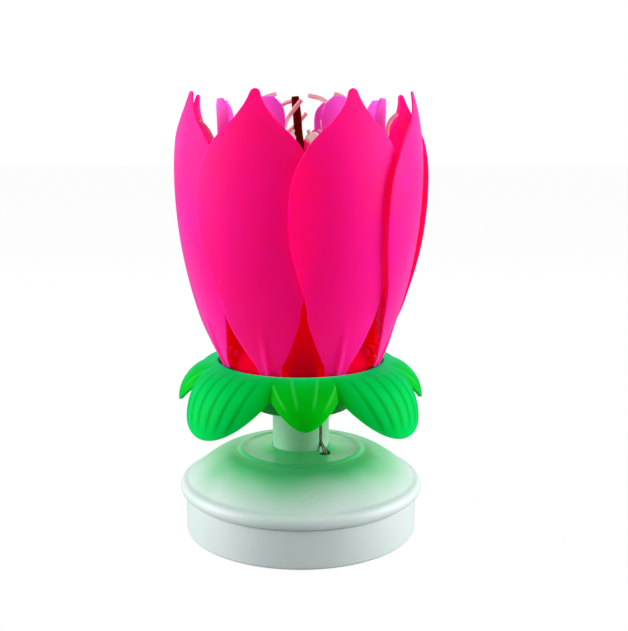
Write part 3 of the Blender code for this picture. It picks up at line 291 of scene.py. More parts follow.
def spun(name, outline, steps=144):
    """Extrude one point along an outline of (radius, height), in mm, and spin it about Z."""
    outline = list(outline)
    if outline[0][0] > 0:
        outline.append(outline[0])
    pick()
    bpy.ops.mesh.primitive_plane_add(size=MM)
    piece = bpy.context.object
    piece.name = name
    bpy.ops.object.mode_set(mode="EDIT")
    bpy.ops.mesh.merge(type="CENTER")
    bpy.ops.transform.translate(value=(outline[0][0] * MM, 0, outline[0][1] * MM))
    for (radius, height), (next_radius, next_height) in zip(outline, outline[1:]):
        step = ((next_radius - radius) * MM, 0, (next_height - height) * MM)
        bpy.ops.mesh.extrude_region_move(TRANSFORM_OT_translate={"value": step})
    bpy.ops.mesh.select_all(action="SELECT")
    bpy.ops.mesh.spin(steps=steps, angle=TURN, center=(0, 0, 0), axis=(0, 0, 1))
    close_up(piece)
    return piece


def wrapped(name, columns, rows, place):
    """Move every point (x, y) of a flat grid, each from -1 to 1, to place(x, y)."""
    pick()
    bpy.ops.mesh.primitive_grid_add(x_subdivisions=columns, y_subdivisions=rows, size=2)
    piece = bpy.context.object
    piece.name = name
    for point in piece.data.vertices:
        point.co = place(point.co.x, point.co.y)
    return piece


def polar(radius, azimuth, height=0.0):
    return Vector((radius * math.cos(azimuth), radius * math.sin(azimuth), height))


print("an arc of", len(arc(0, 0, 1, 0, 90)), "points")

# %% [markdown]
# Stamens, wires and threads are round rods. A rod is a smooth curve with a thickness at each point. It
# is made a mesh, and its two flat ends are rounded with a bevel.

# %% Rods along a curve
def rod(name, points, thick, steps=8, round_ends=True, sides=3):
    """A rod in mm through the points. thick is one radius, or one for each point."""
    sizes = thick if isinstance(thick, (list, tuple)) else [thick] * len(points)
    pick()
    bpy.ops.curve.primitive_bezier_curve_add()
    line = bpy.context.object
    line.name = name
    line.data.dimensions = "3D"
    line.data.splines.clear()
    spline = line.data.splines.new("BEZIER")
    spline.bezier_points.add(len(points) - 1)
    for knot, place, size in zip(spline.bezier_points, points, sizes):
        knot.co = Vector(place) * MM
        knot.radius = size
        knot.handle_left_type = knot.handle_right_type = "AUTO"
    spline.resolution_u = steps
    line.data.bevel_depth = MM
    line.data.bevel_resolution = sides
    line.data.use_fill_caps = True
    bpy.ops.object.convert(target="MESH")
    piece = bpy.context.object
    close_up(piece)
    if round_ends:
        carry_out(piece, "BEVEL", width=0.8 * min(sizes[0], sizes[-1]) * MM, segments=3,
                  limit_method="ANGLE", angle_limit=SHARP)
    return piece


print("rods ready")

# %% [markdown]
# ## Shared effects of the finishes
# Moulded plastic is never one flat colour. Its colour clouds a little, its gloss changes where it has
# been handled, and a few specks of dust lie on it. These effects are node groups, made once and used
# in each material with its own values. They read Object coordinates, so they stay on the piece.

# %% Helpers for node groups
def new_group(name, inputs, outputs):
    """A shader node group with named inputs (name, kind, value) and outputs (name, kind).

    Returned with it are the sockets that its inputs come in by, and the node that its outputs leave by.
    """
    group = bpy.data.node_groups.new(name, "ShaderNodeTree")
    for label, kind, value in inputs:
        socket = group.interface.new_socket(name=label, in_out="INPUT", socket_type="NodeSocket" + kind)
        socket.default_value = value
    for label, kind in outputs:
        group.interface.new_socket(name=label, in_out="OUTPUT", socket_type="NodeSocket" + kind)
    return group, group.nodes.new("NodeGroupInput").outputs, group.nodes.new("NodeGroupOutput")


def object_place(tree):
    """The socket that gives each point's place on its piece."""
    return add_node(tree, "TexCoord").outputs["Object"]


def noise_node(tree, place, detail, rough=0.5, scale=5.0):
    """Noise that reads a place vector."""
    noise = add_node(tree, "TexNoise", Scale=scale, Detail=detail, Roughness=rough, Vector=place)
    return noise.outputs["Fac"]


def spread_node(tree, value, low, high, to_low=0.0, to_high=1.0, ease="LINEAR"):
    """Map a value from one range to another, and clamp it."""
    ramp = add_node(tree, "MapRange", Value=value, From_Min=low, From_Max=high, To_Min=to_low,
                    To_Max=to_high)
    ramp.interpolation_type = ease
    return ramp.outputs["Result"]


def mix_node(tree, factor, first, second):
    """Mix two colours. Each may be a socket or a colour."""
    mix = add_node(tree, "Mix")
    mix.data_type = "RGBA"
    return feed(tree, mix, Factor=factor, A=first, B=second).outputs["Result"]


print("group helpers ready")

# %% Clouded colour
clouds, inside, outside = new_group(
    "clouded colour",
    [("Colour", "Color", (1, 1, 1, 1)), ("Other Colour", "Color", (1, 1, 1, 1)),
     ("Scale", "Float", 60.0)],
    [("Colour", "Color")])
noise = noise_node(clouds, object_place(clouds), 3, scale=inside["Scale"])
mask = spread_node(clouds, noise, 0.35, 0.68)
feed(clouds, outside, Colour=mix_node(clouds, mask, inside["Colour"], inside["Other Colour"]))
print(clouds.name, "has", len(clouds.nodes), "nodes")

# %% Handled gloss
handled, inside, outside = new_group(
    "handled gloss",
    [("Low", "Float", 0.3), ("High", "Float", 0.45), ("Scale", "Float", 180.0)],
    [("Roughness", "Float"), ("Height", "Float")])
place = object_place(handled)
noise = noise_node(handled, place, 5, 0.6, inside["Scale"])
gloss = spread_node(handled, noise, 0.3, 0.7, inside["Low"], inside["High"])
feed(handled, outside, Roughness=gloss, Height=noise_node(handled, place, 2, scale=2200))
print(handled.name, "has", len(handled.nodes), "nodes")

# %% Specks of dust and scuffs
specks, inside, outside = new_group(
    "specks",
    [("Colour", "Color", (1, 1, 1, 1)), ("Speck Colour", "Color", (0.4, 0.36, 0.3, 1)),
     ("Size", "Float", 420.0), ("Amount", "Float", 0.12)],
    [("Colour", "Color")])
place = object_place(specks)
cells = add_node(specks, "TexVoronoi", Vector=place, Scale=inside["Size"])
dots = spread_node(specks, cells.outputs["Distance"], 0.05, 0.12, 1.0, 0.0)
where = spread_node(specks, noise_node(specks, place, 1, scale=210), 0.62, 0.7)
both = math_node(specks, "MULTIPLY", dots, where)
some = math_node(specks, "MULTIPLY", both, inside["Amount"])
feed(specks, outside, Colour=mix_node(specks, some, inside["Colour"], inside["Speck Colour"]))
print(specks.name, "has", len(specks.nodes), "nodes")

# %% Building a finish
def use(tree, group, **values):
    """Place a node group in a material. A value is a number, a colour or a socket."""
    node = add_node(tree, "Group")
    node.node_tree = group
    return feed(tree, node, **values)


def rgba(*colour):
    return (*colour, 1.0)


def finish(name, **constants):
    """A material whose shader has these constants, set on its own sockets."""
    made = bpy.data.materials.new(name)
    made.use_nodes = True
    tree = made.node_tree
    return made, tree, feed(tree, tree.nodes["Principled BSDF"], **constants)


def connect_skin(tree, shader, colour, low, high, scale=180.0, depth=0.02 * MM):
    """Wire a colour, a handled gloss and a fine grain to the shader."""
    gloss = use(tree, handled, Low=low, High=high, Scale=scale)
    bump = add_node(tree, "Bump", Distance=depth, Strength=0.35, Height=gloss.outputs["Height"])
    feed(tree, shader, Base_Color=colour, Roughness=gloss.outputs["Roughness"],
         Normal=bump.outputs["Normal"])


def plastic(name, colour, other, low=0.32, high=0.46, **constants):
    """Moulded plastic that clouds between two colours, with a few specks on it."""
    made, tree, shader = finish(name, **constants)
    tint = use(tree, clouds, Colour=rgba(*colour), Other_Colour=rgba(*other), Scale=70.0)
    dusty = use(tree, specks, Colour=tint.outputs["Colour"], Amount=0.1)
    connect_skin(tree, shader, dusty.outputs["Colour"], low, high)
    return made


print("finish helpers ready")

# %% [markdown]
# ## Coloured plastics
# The petals are thin, see-through plastic: light goes in, wanders and comes out redder, so they get
# subsurface scattering. A sheen with a magenta tint gives the cooler pink at their turned-away sides,
# and a weak red glow is painted light, which makes their red brighter where the lamps leave it dim.
# The calyx is a waxy green of the same kind. Its colour holds painted light too: it is painted paler
# along the outer middle of each large sepal, as light shining through, lighter on its raised veins as
# painted highlights, and darker in its sunk ones as painted shade.

# %% Pink, red and green plastics
# The petals' weak red glow is painted light that brightens their red where the lamps leave it dim.
petal_pink = plastic("petal_pink", (1.0, 0.0, 0.24), (1.0, 0.0, 0.31), 0.36, 0.46,
                     Subsurface_Weight=1.0, Subsurface_Radius=(1.0, 0.05, 0.25), Subsurface_Scale=3.0 * MM,
                     Specular_IOR_Level=0.04, Sheen_Weight=0.8, Sheen_Roughness=0.4,
                     Sheen_Tint=rgba(1.0, 0.3, 1.0),
                     Emission_Color=rgba(1.0, 0.0, 0.04), Emission_Strength=0.18)
# The heart's weak red glow is painted light that fills its shaded gaps between the petals' feet with red.
heart_red = plastic("heart_red", (1.0, 0.0, 0.025), (1.0, 0.0, 0.035), 0.36, 0.5,
                    Subsurface_Weight=0.8, Subsurface_Radius=(1.0, 0.03, 0.03), Subsurface_Scale=2.0 * MM,
                    Specular_IOR_Level=0.0, Emission_Color=rgba(1.0, 0.0, 0.01), Emission_Strength=0.07)
leaf_pink = plastic("leaf_pink", (1.0, 0.09, 0.72), (1.0, 0.13, 0.80), 0.36, 0.5,
                    Subsurface_Weight=0.8, Subsurface_Radius=(1.0, 0.1, 0.5), Subsurface_Scale=2.0 * MM,
                    Specular_IOR_Level=0.1)
stamen_pink = plastic("stamen_pink", (0.88, 0.36, 0.44), (0.90, 0.45, 0.5), 0.4, 0.55,
                      Subsurface_Weight=0.3, Subsurface_Radius=(1.0, 0.4, 0.4), Subsurface_Scale=1.0 * MM)
sepal_green = plastic("sepal_green", (0.0, 0.52, 0.0), (0.0, 0.60, 0.004), 0.34, 0.46,
                      Subsurface_Weight=0.5, Subsurface_Radius=(0.02, 1.0, 0.1), Subsurface_Scale=1.5 * MM,
                      Specular_IOR_Level=0.01, Sheen_Weight=1.0, Sheen_Roughness=0.4,
                      Sheen_Tint=rgba(0.0, 1.3, 0.5))
cup_green = plastic("cup_green", (0.01, 0.24, 0.03), (0.01, 0.28, 0.04), 0.36, 0.5,
                    Subsurface_Weight=0.3, Subsurface_Radius=(0.02, 1.0, 0.1), Subsurface_Scale=1.0 * MM,
                    Specular_IOR_Level=0.1)


def attribute_node(tree, name):
    """The socket that gives a value which the piece stores at its points."""
    node = add_node(tree, "Attribute")
    node.attribute_name = name
    return node.outputs["Fac"]


def paint_light_by_attributes(made, through_light_colour, vein_highlight_colour, groove_shade_colour):
    """Mix painted light into the colour by the piece's attributes: one from 0 to 1 for painted light
    shining through, and vein, from -1 to 1, for painted highlights on raised veins and painted shade in
    sunk ones.
    """
    tree = made.node_tree
    shader = tree.nodes["Principled BSDF"]
    vein = attribute_node(tree, "vein")
    colour = shader.inputs["Base Color"].links[0].from_socket
    colour = mix_node(tree, attribute_node(tree, "through_light"), colour, through_light_colour)
    colour = mix_node(tree, spread_node(tree, vein, 0.0, 1.0), colour, vein_highlight_colour)
    colour = mix_node(tree, spread_node(tree, vein, 0.0, -1.0), colour, groove_shade_colour)
    feed(tree, shader, Base_Color=colour)


# Painted light on the calyx: a paler green where light would shine through, painted highlights on the
# raised veins and painted shade in the sunk ones.
paint_light_by_attributes(sepal_green, rgba(0.0, 0.70, 0.10), rgba(0.03, 0.64, 0.05), rgba(0.0, 0.48, 0.03))
print("plastics:", petal_pink.name, heart_red.name, leaf_pink.name, stamen_pink.name, sepal_green.name)

# %% [markdown]
# The base is white plastic with a green bloom sprayed round the stem. The bloom is strong up to the
# raised ring and fades out before the rim, a little unevenly. Its mask is the distance from the upright
# axis, with some noise added.

# %% White plastic with the sprayed bloom
UNEVEN = 2.0


def sprayed_and_reflecting_white(name, strong, near, far):
    """White plastic whose green tint fades between two radii, in mm: a sprayed bloom on the dome, and an
    even painted reflection of the green around it on the stem.
    """
    made, tree, shader = finish(name, Subsurface_Weight=0.12, Subsurface_Radius=(1.0, 1.0, 1.0),
                                Subsurface_Scale=1.0 * MM, Specular_IOR_Level=0.4)
    place = object_place(tree)
    flat = add_node(tree, "VectorMath", Vector=place)
    flat.operation = "MULTIPLY"
    flat.inputs[1].default_value = (1, 1, 0)
    reach = add_node(tree, "VectorMath", Vector=flat.outputs[0])
    reach.operation = "LENGTH"
    uneven = noise_node(tree, place, 2, scale=55)
    push = spread_node(tree, uneven, 0.3, 0.7, -UNEVEN * MM, UNEVEN * MM)
    total = math_node(tree, "ADD", reach.outputs["Value"], push)
    fade = spread_node(tree, total, near * MM, far * MM, strong, 0.0, "SMOOTHSTEP")
    white = use(tree, clouds, Colour=rgba(0.72, 0.83, 0.82), Other_Colour=rgba(0.76, 0.86, 0.85),
                Scale=40.0)
    spray_and_reflection = mix_node(tree, fade, white.outputs["Colour"], rgba(0.01, 0.62, 0.15))
    dusty = use(tree, specks, Colour=spray_and_reflection, Amount=0.8)
    connect_skin(tree, shader, dusty.outputs["Colour"], 0.28, 0.42)
    return made


dome_white = sprayed_and_reflecting_white("dome_white", 0.9, 17.0, 31.5)
tray_white = sprayed_and_reflecting_white("tray_white", 0.0, 15.5, 25.0)
# The stem's even green tint is painted reflection of the green around it.
stem_white = sprayed_and_reflecting_white("stem_white", 0.54, 10.0, 14.0)
print("white plastics:", dome_white.name, tray_white.name, stem_white.name)

# %% [markdown]
# ## Base
# The tray stands on the cake and doesn't turn. The dome above it carries the flower and spins on the
# tray. Both are turned parts, so each one is an outline spun about the axis.

# %% The tray
TRAY_RADIUS, EDGE = 28.65, 0.9
outline = ([(6.1, 0.25)] + arc(6.35, 0.25, 0.25, 180, 270, 4)
           + arc(TRAY_RADIUS - EDGE, EDGE, EDGE, -90, 0, 10)
           + [(TRAY_RADIUS, 9.25), (28.45, 9.45), (27.4, 9.45), (27.2, 9.25), (27.2, 1.5)]
           + arc(26.9, 1.5, 0.3, 0, -90, 3)
           + [(7.4, 1.2), (7.4, 3.7), (5.6, 3.7), (5.6, 7.75), (4.3, 7.75), (4.3, 2.5), (6.1, 2.5)])
tray = spun("tray", outline, 160)
coat(tray, tray_white)
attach(tray, "base")
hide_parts("base_tray")
print("tray:", count(tray), "triangles")

# %% [markdown]
# The dome's rim is a rounded roll that is wider than the tray. A narrow groove parts it from the dome,
# which rises in a long flat curve to a small raised ring. Inside the ring is the seat, which rises a
# little to the stem, with one drilled hole for the two wires.

# %% The dome
SEAT = 19.8
DOME_REACH, DOME_RISE = 12.05, 6.6
RIM_RADIUS = 28.2
RING_RADIUS, RING_HALF_WIDTH, RING_HEIGHT, RING_STEPS = 14.6, 1.5, 0.62, 9
SEAT_STEP = 0.3


def dome_curve(radius, height, steps):
    """The dome's long flat curve, from its lowest point inwards."""
    shares = [step / steps for step in range(steps + 1)]
    return [(radius - DOME_REACH * share, height + DOME_RISE * math.sin(math.pi / 2 * share))
            for share in shares]


rim = arc(RIM_RADIUS, 11.4, 1.8, -60, 75, 14)
ring = []
for step in range(-RING_STEPS, RING_STEPS + 1):
    foot = SEAT_STEP if step > 0 else 0.0
    rise = (RING_HEIGHT - foot) * math.cos(math.pi / 2 * step / RING_STEPS) ** 2
    ring.append((RING_RADIUS - RING_HALF_WIDTH * step / RING_STEPS, SEAT + foot + rise))
collar = [(12.0, SEAT + SEAT_STEP), (9.5, SEAT + 0.45), (8.2, SEAT + 0.8), (7.4, SEAT + 1.15),
          (7.15, SEAT + 1.2), (7.1, SEAT)]
outline = ([(RIM_RADIUS, 9.6)] + rim + dome_curve(RIM_RADIUS, 13.2, 26)[:-1] + ring + collar
           + [(5.1, SEAT), (5.1, SEAT - 1.2)] + dome_curve(27.0, 12.0, 10)[::-1])
dome = spun("dome", outline, 160)
WIRE_AZIMUTH = math.radians(-46)
drill_place = polar(7.8 * MM, WIRE_AZIMUTH, 19 * MM)
cut(dome, cylinder(48, 1.8, 5, drill_place))
for side in (0, 1):
    boss_place = polar(21 * MM, math.radians(75) + side * math.pi, 12.5 * MM)
    boss = cylinder(32, 2, 5.8, boss_place)
    cut(boss, cylinder(32, 1.0, 5.8, boss_place - Vector((0, 0, 0.9 * MM))))
    carry_out(dome, "BOOLEAN", operation="UNION", solver="EXACT", object=boss)
    bpy.data.objects.remove(boss)
coat(dome, dome_white, 35)
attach(dome, "turntable")
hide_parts("base_dome")
print("dome:", count(dome), "triangles")

# %% [markdown]
# ## Stem and wires
# The stem is a short hollow post that stands in the seat's collar. The two brown enamelled wires leave
# the dome's hole, bend into a slit in the post and go up to the switch under the flower.

# %% The stem
outline = ([(3.5, 17.9), (4.8, 17.9), (4.8, 20.1), (7.0, 20.1)]
           + [(7.0, 30.4), (6.8, 30.6), (4.8, 30.6), (4.8, 32.8), (3.5, 32.8), (3.5, 29.3), (5.6, 29.3)]
           + [(5.6, 21.4), (3.5, 21.4)])
stem = spun("stem_post", outline, 96)
slit_place = polar(6.3 * MM, WIRE_AZIMUTH, 25.35 * MM)
cut(stem, block((3.4, 1.0, 7.3), slit_place, rotation=(0, 0, WIRE_AZIMUTH)))
coat(stem, stem_white, 35)
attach(stem, "turntable")
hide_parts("stem")
print("stem:", count(stem), "triangles")

# %% Enamelled wire
enamel, tree, shader = finish("wire_enamel", Specular_IOR_Level=0.5, Coat_Weight=0.3)
brown = use(tree, clouds, Colour=rgba(0.20, 0.085, 0.025), Other_Colour=rgba(0.11, 0.10, 0.03),
            Scale=300.0)
connect_skin(tree, shader, brown.outputs["Colour"], 0.3, 0.5)
for number, shift in ((1, 0.425), (2, -0.425)):
    path = [(4 + shift, -10.75, 11.05)]
    for radius, height in ((8.45, 15.4), (8.45, 18.6), (8.45, 20.7), (6.3, 23.9), (6.3, 25.8 + shift),
                           (1.75, 29.3), (1.75, 31.7)):
        path.append(tuple(polar(radius + shift, WIRE_AZIMUTH, height)))
    wire = rod(f"wire_{number}", path, 0.2)
    coat(wire, enamel, 50)
    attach(wire, "turntable")
    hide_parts(f"contact_wire_{number}")
    print(wire.name, count(wire), "triangles")

# %% [markdown]
# ## Receptacle and calyx
# The green cup under the flower is turned. The calyx is a skirt of eight sepals, four small and four
# large, that curl down from one round lip. No turned or bevelled shape has such an edge, so a fine grid
# is wrapped round the axis: at each azimuth a line starts at the lip, and it curls down by a length and
# an angle that belong to that azimuth. Fine veins run together towards each tip: raised ones on the
# small sepals, and sunk ones on the large.

# %% The receptacle
outline = ([(5.1, 30.9)] + arc(11.2, 32.5, 1.6, -90, -20, 8)
           + [(19.2, 39.4), (19.35, 39.9), (19.7, 40.45)]
           + [(20.55, 40.6), (20.7, 40.75), (20.7, 41.25), (20.55, 41.4), (18.0, 41.4), (18.0, 39.4)]
           + [(11.6, 32.5), (5.1, 32.5)])
cup = spun("green_cup", outline, 144)
coat(cup, cup_green)
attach(cup, "turntable")
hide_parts("receptacle")
print("green cup:", count(cup), "triangles")

# %% The sepals' lengths and curls
CALYX_TURN = math.radians(2)
LIP_RADIUS, LIP_HEIGHT = 20.3, 42.75
VALLEY = (7.75, math.radians(76.5))
SMALL = (15.6, math.radians(94))
LARGE = (20.7, math.radians(98))
VALLEY_ANGLE = math.radians(17)
QUARTER = math.radians(90)
START_SLOPE = math.radians(-1.5)
CURL_STEPS = 12


def sepal_shape(azimuth):
    """(length, curl, across, peak) of the skirt. across goes from -1 to 1 over one sepal."""
    local = (azimuth - CALYX_TURN + QUARTER / 2) % QUARTER - QUARTER / 2
    size = abs(local)
    if size < VALLEY_ANGLE:
        share, peak, blunt = size / VALLEY_ANGLE, SMALL, 0.42
        across = local / VALLEY_ANGLE
        bulge = (math.hypot(1, blunt) - math.hypot(share, blunt)) / (math.hypot(1, blunt) - blunt)
    else:
        share, peak = (QUARTER / 2 - size) / (QUARTER / 2 - VALLEY_ANGLE), LARGE
        across = share if local < 0 else -share
        bulge = 1 - share**2
    length = VALLEY[0] + (peak[0] - VALLEY[0]) * bulge
    curl = VALLEY[1] + (peak[1] - VALLEY[1]) * bulge
    return length, curl, across, peak


print("a small sepal is", sepal_shape(CALYX_TURN)[0], "mm long")

# %% The veins
VEINS = {SMALL: (-1.3, -0.5, 0.5, 1.3), LARGE: (-0.72, -0.44, -0.15, 0.15, 0.44, 0.72)}
RIDGE, GROOVE = 0.08, 0.05


def vein(across, reach, peak):
    """1 on a raised vein of a small sepal, -1 in a groove of a large one, and 0 away from them."""
    along = reach / peak[0]
    if peak is SMALL:
        sign, width, narrowing, start, end = 1, 0.042, 0.9 * along, 0.04, 0.72
    else:
        sign, width, narrowing, start, end = -1, 0.035, 0.55 * along**1.6, 0.1, 0.93
    fade = min(max((along - start) / 0.12, 0), 1) * min(max((end - along) / 0.15, 0), 1)
    strength = 0.0
    for line in VEINS[peak]:
        strength += math.exp(-((across - line * (1 - narrowing)) / width) ** 2)
    return sign * fade * strength


print("veins on a small and a large sepal:", len(VEINS[SMALL]), len(VEINS[LARGE]))

# %% The calyx
vein_strengths, through_light_mask = [], []


def calyx_place(x, y):
    """A point of the skirt at an azimuth, some way along the curled line from the lip to the edge."""
    azimuth = math.pi * x
    share = (1 - y) / 2
    length, curl, across, peak = sepal_shape(azimuth)
    radius, height, slope = LIP_RADIUS, LIP_HEIGHT, START_SLOPE
    for step in range(CURL_STEPS):
        slope = START_SLOPE + curl * share * (step + 0.5) / CURL_STEPS
        radius += length * share / CURL_STEPS * math.cos(slope)
        height -= length * share / CURL_STEPS * math.sin(slope)
    strength = vein(across, share * length, peak)
    vein_strengths.append(strength)
    # This mask marks where a paler green is painted as light shining through: the outer middle of each
    # large sepal.
    through_light_mask.append(min(share / 0.5, 1) * (1 - abs(across) ** 3) if peak is LARGE else 0)
    rise = strength * (RIDGE if strength > 0 else GROOVE)
    return polar((radius + rise * math.sin(slope)) * MM, azimuth, (height + rise * math.cos(slope)) * MM)


calyx = wrapped("calyx_skirt", 720, 44, calyx_place)
for label, values in (("vein", vein_strengths), ("through_light", through_light_mask)):
    calyx.data.attributes.new(label, "FLOAT", "POINT").data.foreach_set("value", values)
close_up(calyx)
top = max(calyx.data.polygons, key=lambda face: face.center.z)
turned_in = top.normal.z < 0
if turned_in:
    calyx.data.flip_normals()
carry_out(calyx, "SOLIDIFY", thickness=0.9 * MM, offset=-1)
carry_out(calyx, "BEVEL", width=0.25 * MM, segments=2, limit_method="ANGLE", angle_limit=SHARP)
coat(calyx, sepal_green, 50)
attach(calyx, "turntable")
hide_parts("calyx")
print("calyx:", count(calyx), "triangles, turned:", turned_in)

# %% [markdown]
# ## Heart of the flower
# The red cup in the middle carries the hinges. It shows between the petals' feet, and it is full of
# candles when the bud is shut. Two lugs stand out of it for each petal, with a hole for the petal's pin,
# and a thin collar closes the ring between the cup and the calyx.

# %% The cup with its lugs
outline = ([(0, 37.03)] + arc(14.7, 37.53, 0.5, -90, 0, 4)
           + [(15.2, 41.7), (17.8, 41.7), (18.0, 41.85), (18.0, 42.05), (17.8, 42.2), (15.2, 42.2)]
           + [(15.2, 62.75), (15.05, 62.98), (14.7, 63.05)]
           + [(14.35, 62.98), (14.2, 62.75), (14.2, 38.03), (5.3, 38.03), (5.3, 46.85), (5.15, 47.03)]
           + [(4.45, 47.03), (4.3, 46.85), (4.3, 38.03), (0, 38.03)])
heart = spun("heart_cup", outline, 112)
PETAL_TURN = math.radians(1.6)
HINGE = (17.6, 46.05)
LUG_SIDE, LUG_WIDTH, LUG_REACH = 2.0, 1.2, 2.9
LOBE_WALL, LOBE_REACH, LOBE_FOOT, LOBE_HEIGHT = 14.7, 18.2, 42.0, 17.0
LOBE_HALF_ANGLE = math.radians(10.5)
SIDEWAYS = (math.pi / 2, 0, 0)


def petal_azimuth(number):
    return -math.pi / 2 + PETAL_TURN + TURN * (number - 0.5) / 8


def lug(side):
    """One lug of the petal that would stand on +X, drilled for the pin."""
    place = (HINGE[0] * MM, side * LUG_SIDE * MM, HINGE[1] * MM)
    made = cylinder(32, 1.5, LUG_WIDTH, place, rotation=SIDEWAYS)
    bpy.ops.object.transform_apply()
    arm = block((LUG_REACH, LUG_WIDTH, 3.0), ((HINGE[0] - LUG_REACH / 2) * MM, *place[1:]))
    carry_out(made, "BOOLEAN", operation="UNION", solver="EXACT", object=arm)
    bpy.data.objects.remove(arm)
    cut(made, cylinder(32, 1.0, 3, place, rotation=SIDEWAYS))
    return made


def lobe_place(x, y):
    """A point of the lobe that would stand on +X. It rises straight and rounds off at its top."""
    turn = math.pi / 2 * x
    side = math.copysign(abs(math.sin(turn)) ** 0.6, x)
    width = math.cos(math.pi / 2 * min(max((y - 0.35) / 0.65, 0), 1))
    reach = LOBE_WALL + (LOBE_REACH - LOBE_WALL) * min(math.cos(turn) * 4, 1) * width
    height = LOBE_FOOT + LOBE_HEIGHT * (y + 1) / 2
    return polar(reach * MM, LOBE_HALF_ANGLE * side * width**0.35, height * MM)


pair = joined("lug_pair", lug(1), lug(-1))
pairs = [copy_turned(pair, f"lug_pair_{number}", petal_azimuth(number)) for number in range(1, 9)]
bpy.data.objects.remove(pair)
lobe = wrapped("lobe", 24, 30, lobe_place)
pick(lobe)
bpy.ops.object.mode_set(mode="EDIT")
bpy.ops.mesh.select_all(action="DESELECT")
bpy.ops.mesh.select_non_manifold()
bpy.ops.mesh.edge_face_add()
bpy.ops.object.mode_set(mode="OBJECT")
close_up(lobe)
pairs += [copy_turned(lobe, f"lobe_{number}", petal_azimuth(number + 0.5)) for number in range(1, 9)]
bpy.data.objects.remove(lobe)
heart = joined("heart_cup", heart, *pairs)
coat(heart, heart_red, 35)
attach(heart, "turntable")
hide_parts("petal_carrier")
print("heart cup:", count(heart), "triangles")

# %% [markdown]
# ## Petals
# A petal is a curved shield: one long arc from its narrow foot to its widest point, a tighter one above
# it, and an outline that ends in a small tip. Its left edge lies over its neighbour. A ridge runs up its
# foot and fades out. The grid is wrapped on that surface and thickened inwards, less so towards its
# edge, by a vertex group. A bevel then rounds the edge.

# %% The bud's surface
FOOT, PEAK, TIP = 43.05, 87.95, 106.55
BUD_RADIUS, FOOT_DROP, TIP_DROP = 29.35, 9.6, 2.4
HIDDEN_FOOT = 0.3
EDGE_SHARE, EDGE_TAPER = 0.45, 2.0
PETAL_HALF_WIDTH, OVERLAP = 14.8, 1.5
PETAL_OUTLINE = ((0.0, 0.18), (0.03, 0.21), (0.06, 0.29), (0.1, 0.385), (0.15, 0.49), (0.2, 0.58),
                 (0.26, 0.645), (0.32, 0.73), (0.38, 0.825), (0.47, 0.94), (0.58, 1.0), (0.66, 0.985),
                 (0.725, 0.92), (0.78, 0.8), (0.82, 0.685), (0.86, 0.515), (0.9, 0.32), (0.94, 0.18),
                 (0.957, 0.135), (0.973, 0.1), (0.988, 0.075), (0.996, 0.05), (1.0, 0.008))


def read_curve(table, at):
    """Read a table of (share, value) pairs along a smooth curve through them."""
    for index in range(len(table) - 1):
        (a, low), (b, high) = table[index], table[index + 1]
        if at <= b:
            break
    before, after = table[max(index - 1, 0)], table[min(index + 2, len(table) - 1)]
    slope_in = (high - before[1]) / (b - before[0])
    slope_out = (after[1] - low) / (after[0] - a)
    t, span = min(max((at - a) / (b - a), 0), 1), b - a
    return ((2 * t**3 - 3 * t**2 + 1) * low + (t**3 - 2 * t**2 + t) * span * slope_in
            + (3 * t**2 - 2 * t**3) * high + (t**3 - t**2) * span * slope_out)


def petal_radius(height):
    """Radius of the bud's face at a height, in mm."""
    drop, reach = (FOOT_DROP, PEAK - FOOT) if height < PEAK else (TIP_DROP, TIP - PEAK)
    size = (reach**2 + drop**2) / (2 * drop)
    return BUD_RADIUS - size + math.sqrt(size**2 - (height - PEAK) ** 2)


print("the bud is", round(2 * petal_radius(PEAK), 1), "mm wide at most")

# %% One petal
def petal_place(x, y):
    """A point of the outer face of the petal that stands on +X."""
    share = 1 - ((1 - y) / 2) ** 1.35
    height = FOOT + (TIP - FOOT) * share - HIDDEN_FOOT * max(1 - share / 0.05, 0)
    radius = petal_radius(height)
    angle = x * PETAL_HALF_WIDTH * read_curve(PETAL_OUTLINE, share) / radius
    ramp = min(share / 0.15, 1)
    radius -= OVERLAP * ramp * angle / (math.pi / 4)
    fade = min(max((0.2 - share) / 0.14, 0), 1)
    ridge = 0.5 * math.exp(-(angle * radius / 0.9) ** 2) * fade
    return polar((radius + ridge) * MM, angle, height * MM)


def pin(radius, length):
    made = cylinder(24, radius, length, (HINGE[0] * MM, 0, HINGE[1] * MM), rotation=SIDEWAYS)
    bpy.ops.object.transform_apply()
    return made


petal = wrapped("petal_shape", 44, 130, petal_place)
close_up(petal)
if sum(face.normal.x for face in petal.data.polygons) < 0:
    petal.data.flip_normals()
thick = petal.vertex_groups.new(name="thick")
for point in petal.data.vertices:
    share = min(max((point.co.z / MM - FOOT) / (TIP - FOOT), 0), 1)
    off_middle = abs(math.atan2(point.co.y, point.co.x)) * point.co.xy.length / MM
    from_edge = PETAL_HALF_WIDTH * read_curve(PETAL_OUTLINE, share) - off_middle
    weight = EDGE_SHARE + (1 - EDGE_SHARE) * min(max(from_edge, 0) / EDGE_TAPER, 1)
    thick.add([point.index], weight, "REPLACE")
carry_out(petal, "SOLIDIFY", thickness=0.8 * MM, offset=-1, use_even_offset=True, vertex_group="thick",
          thickness_vertex_group=0)
carry_out(petal, "BEVEL", width=0.16 * MM, segments=2, limit_method="ANGLE", angle_limit=SHARP)
reach = petal_radius(HINGE[1]) - 0.4 - HINGE[0]
arm = block((reach, 1.9, 1.68), ((HINGE[0] + reach / 2) * MM, 0, HINGE[1] * MM))
bpy.ops.object.transform_apply()
petal = joined("petal_shape", petal, arm, pin(1.2, 2.2), pin(0.7, 5.2))
coat(petal, petal_pink, 50)
print("one petal:", count(petal), "triangles")

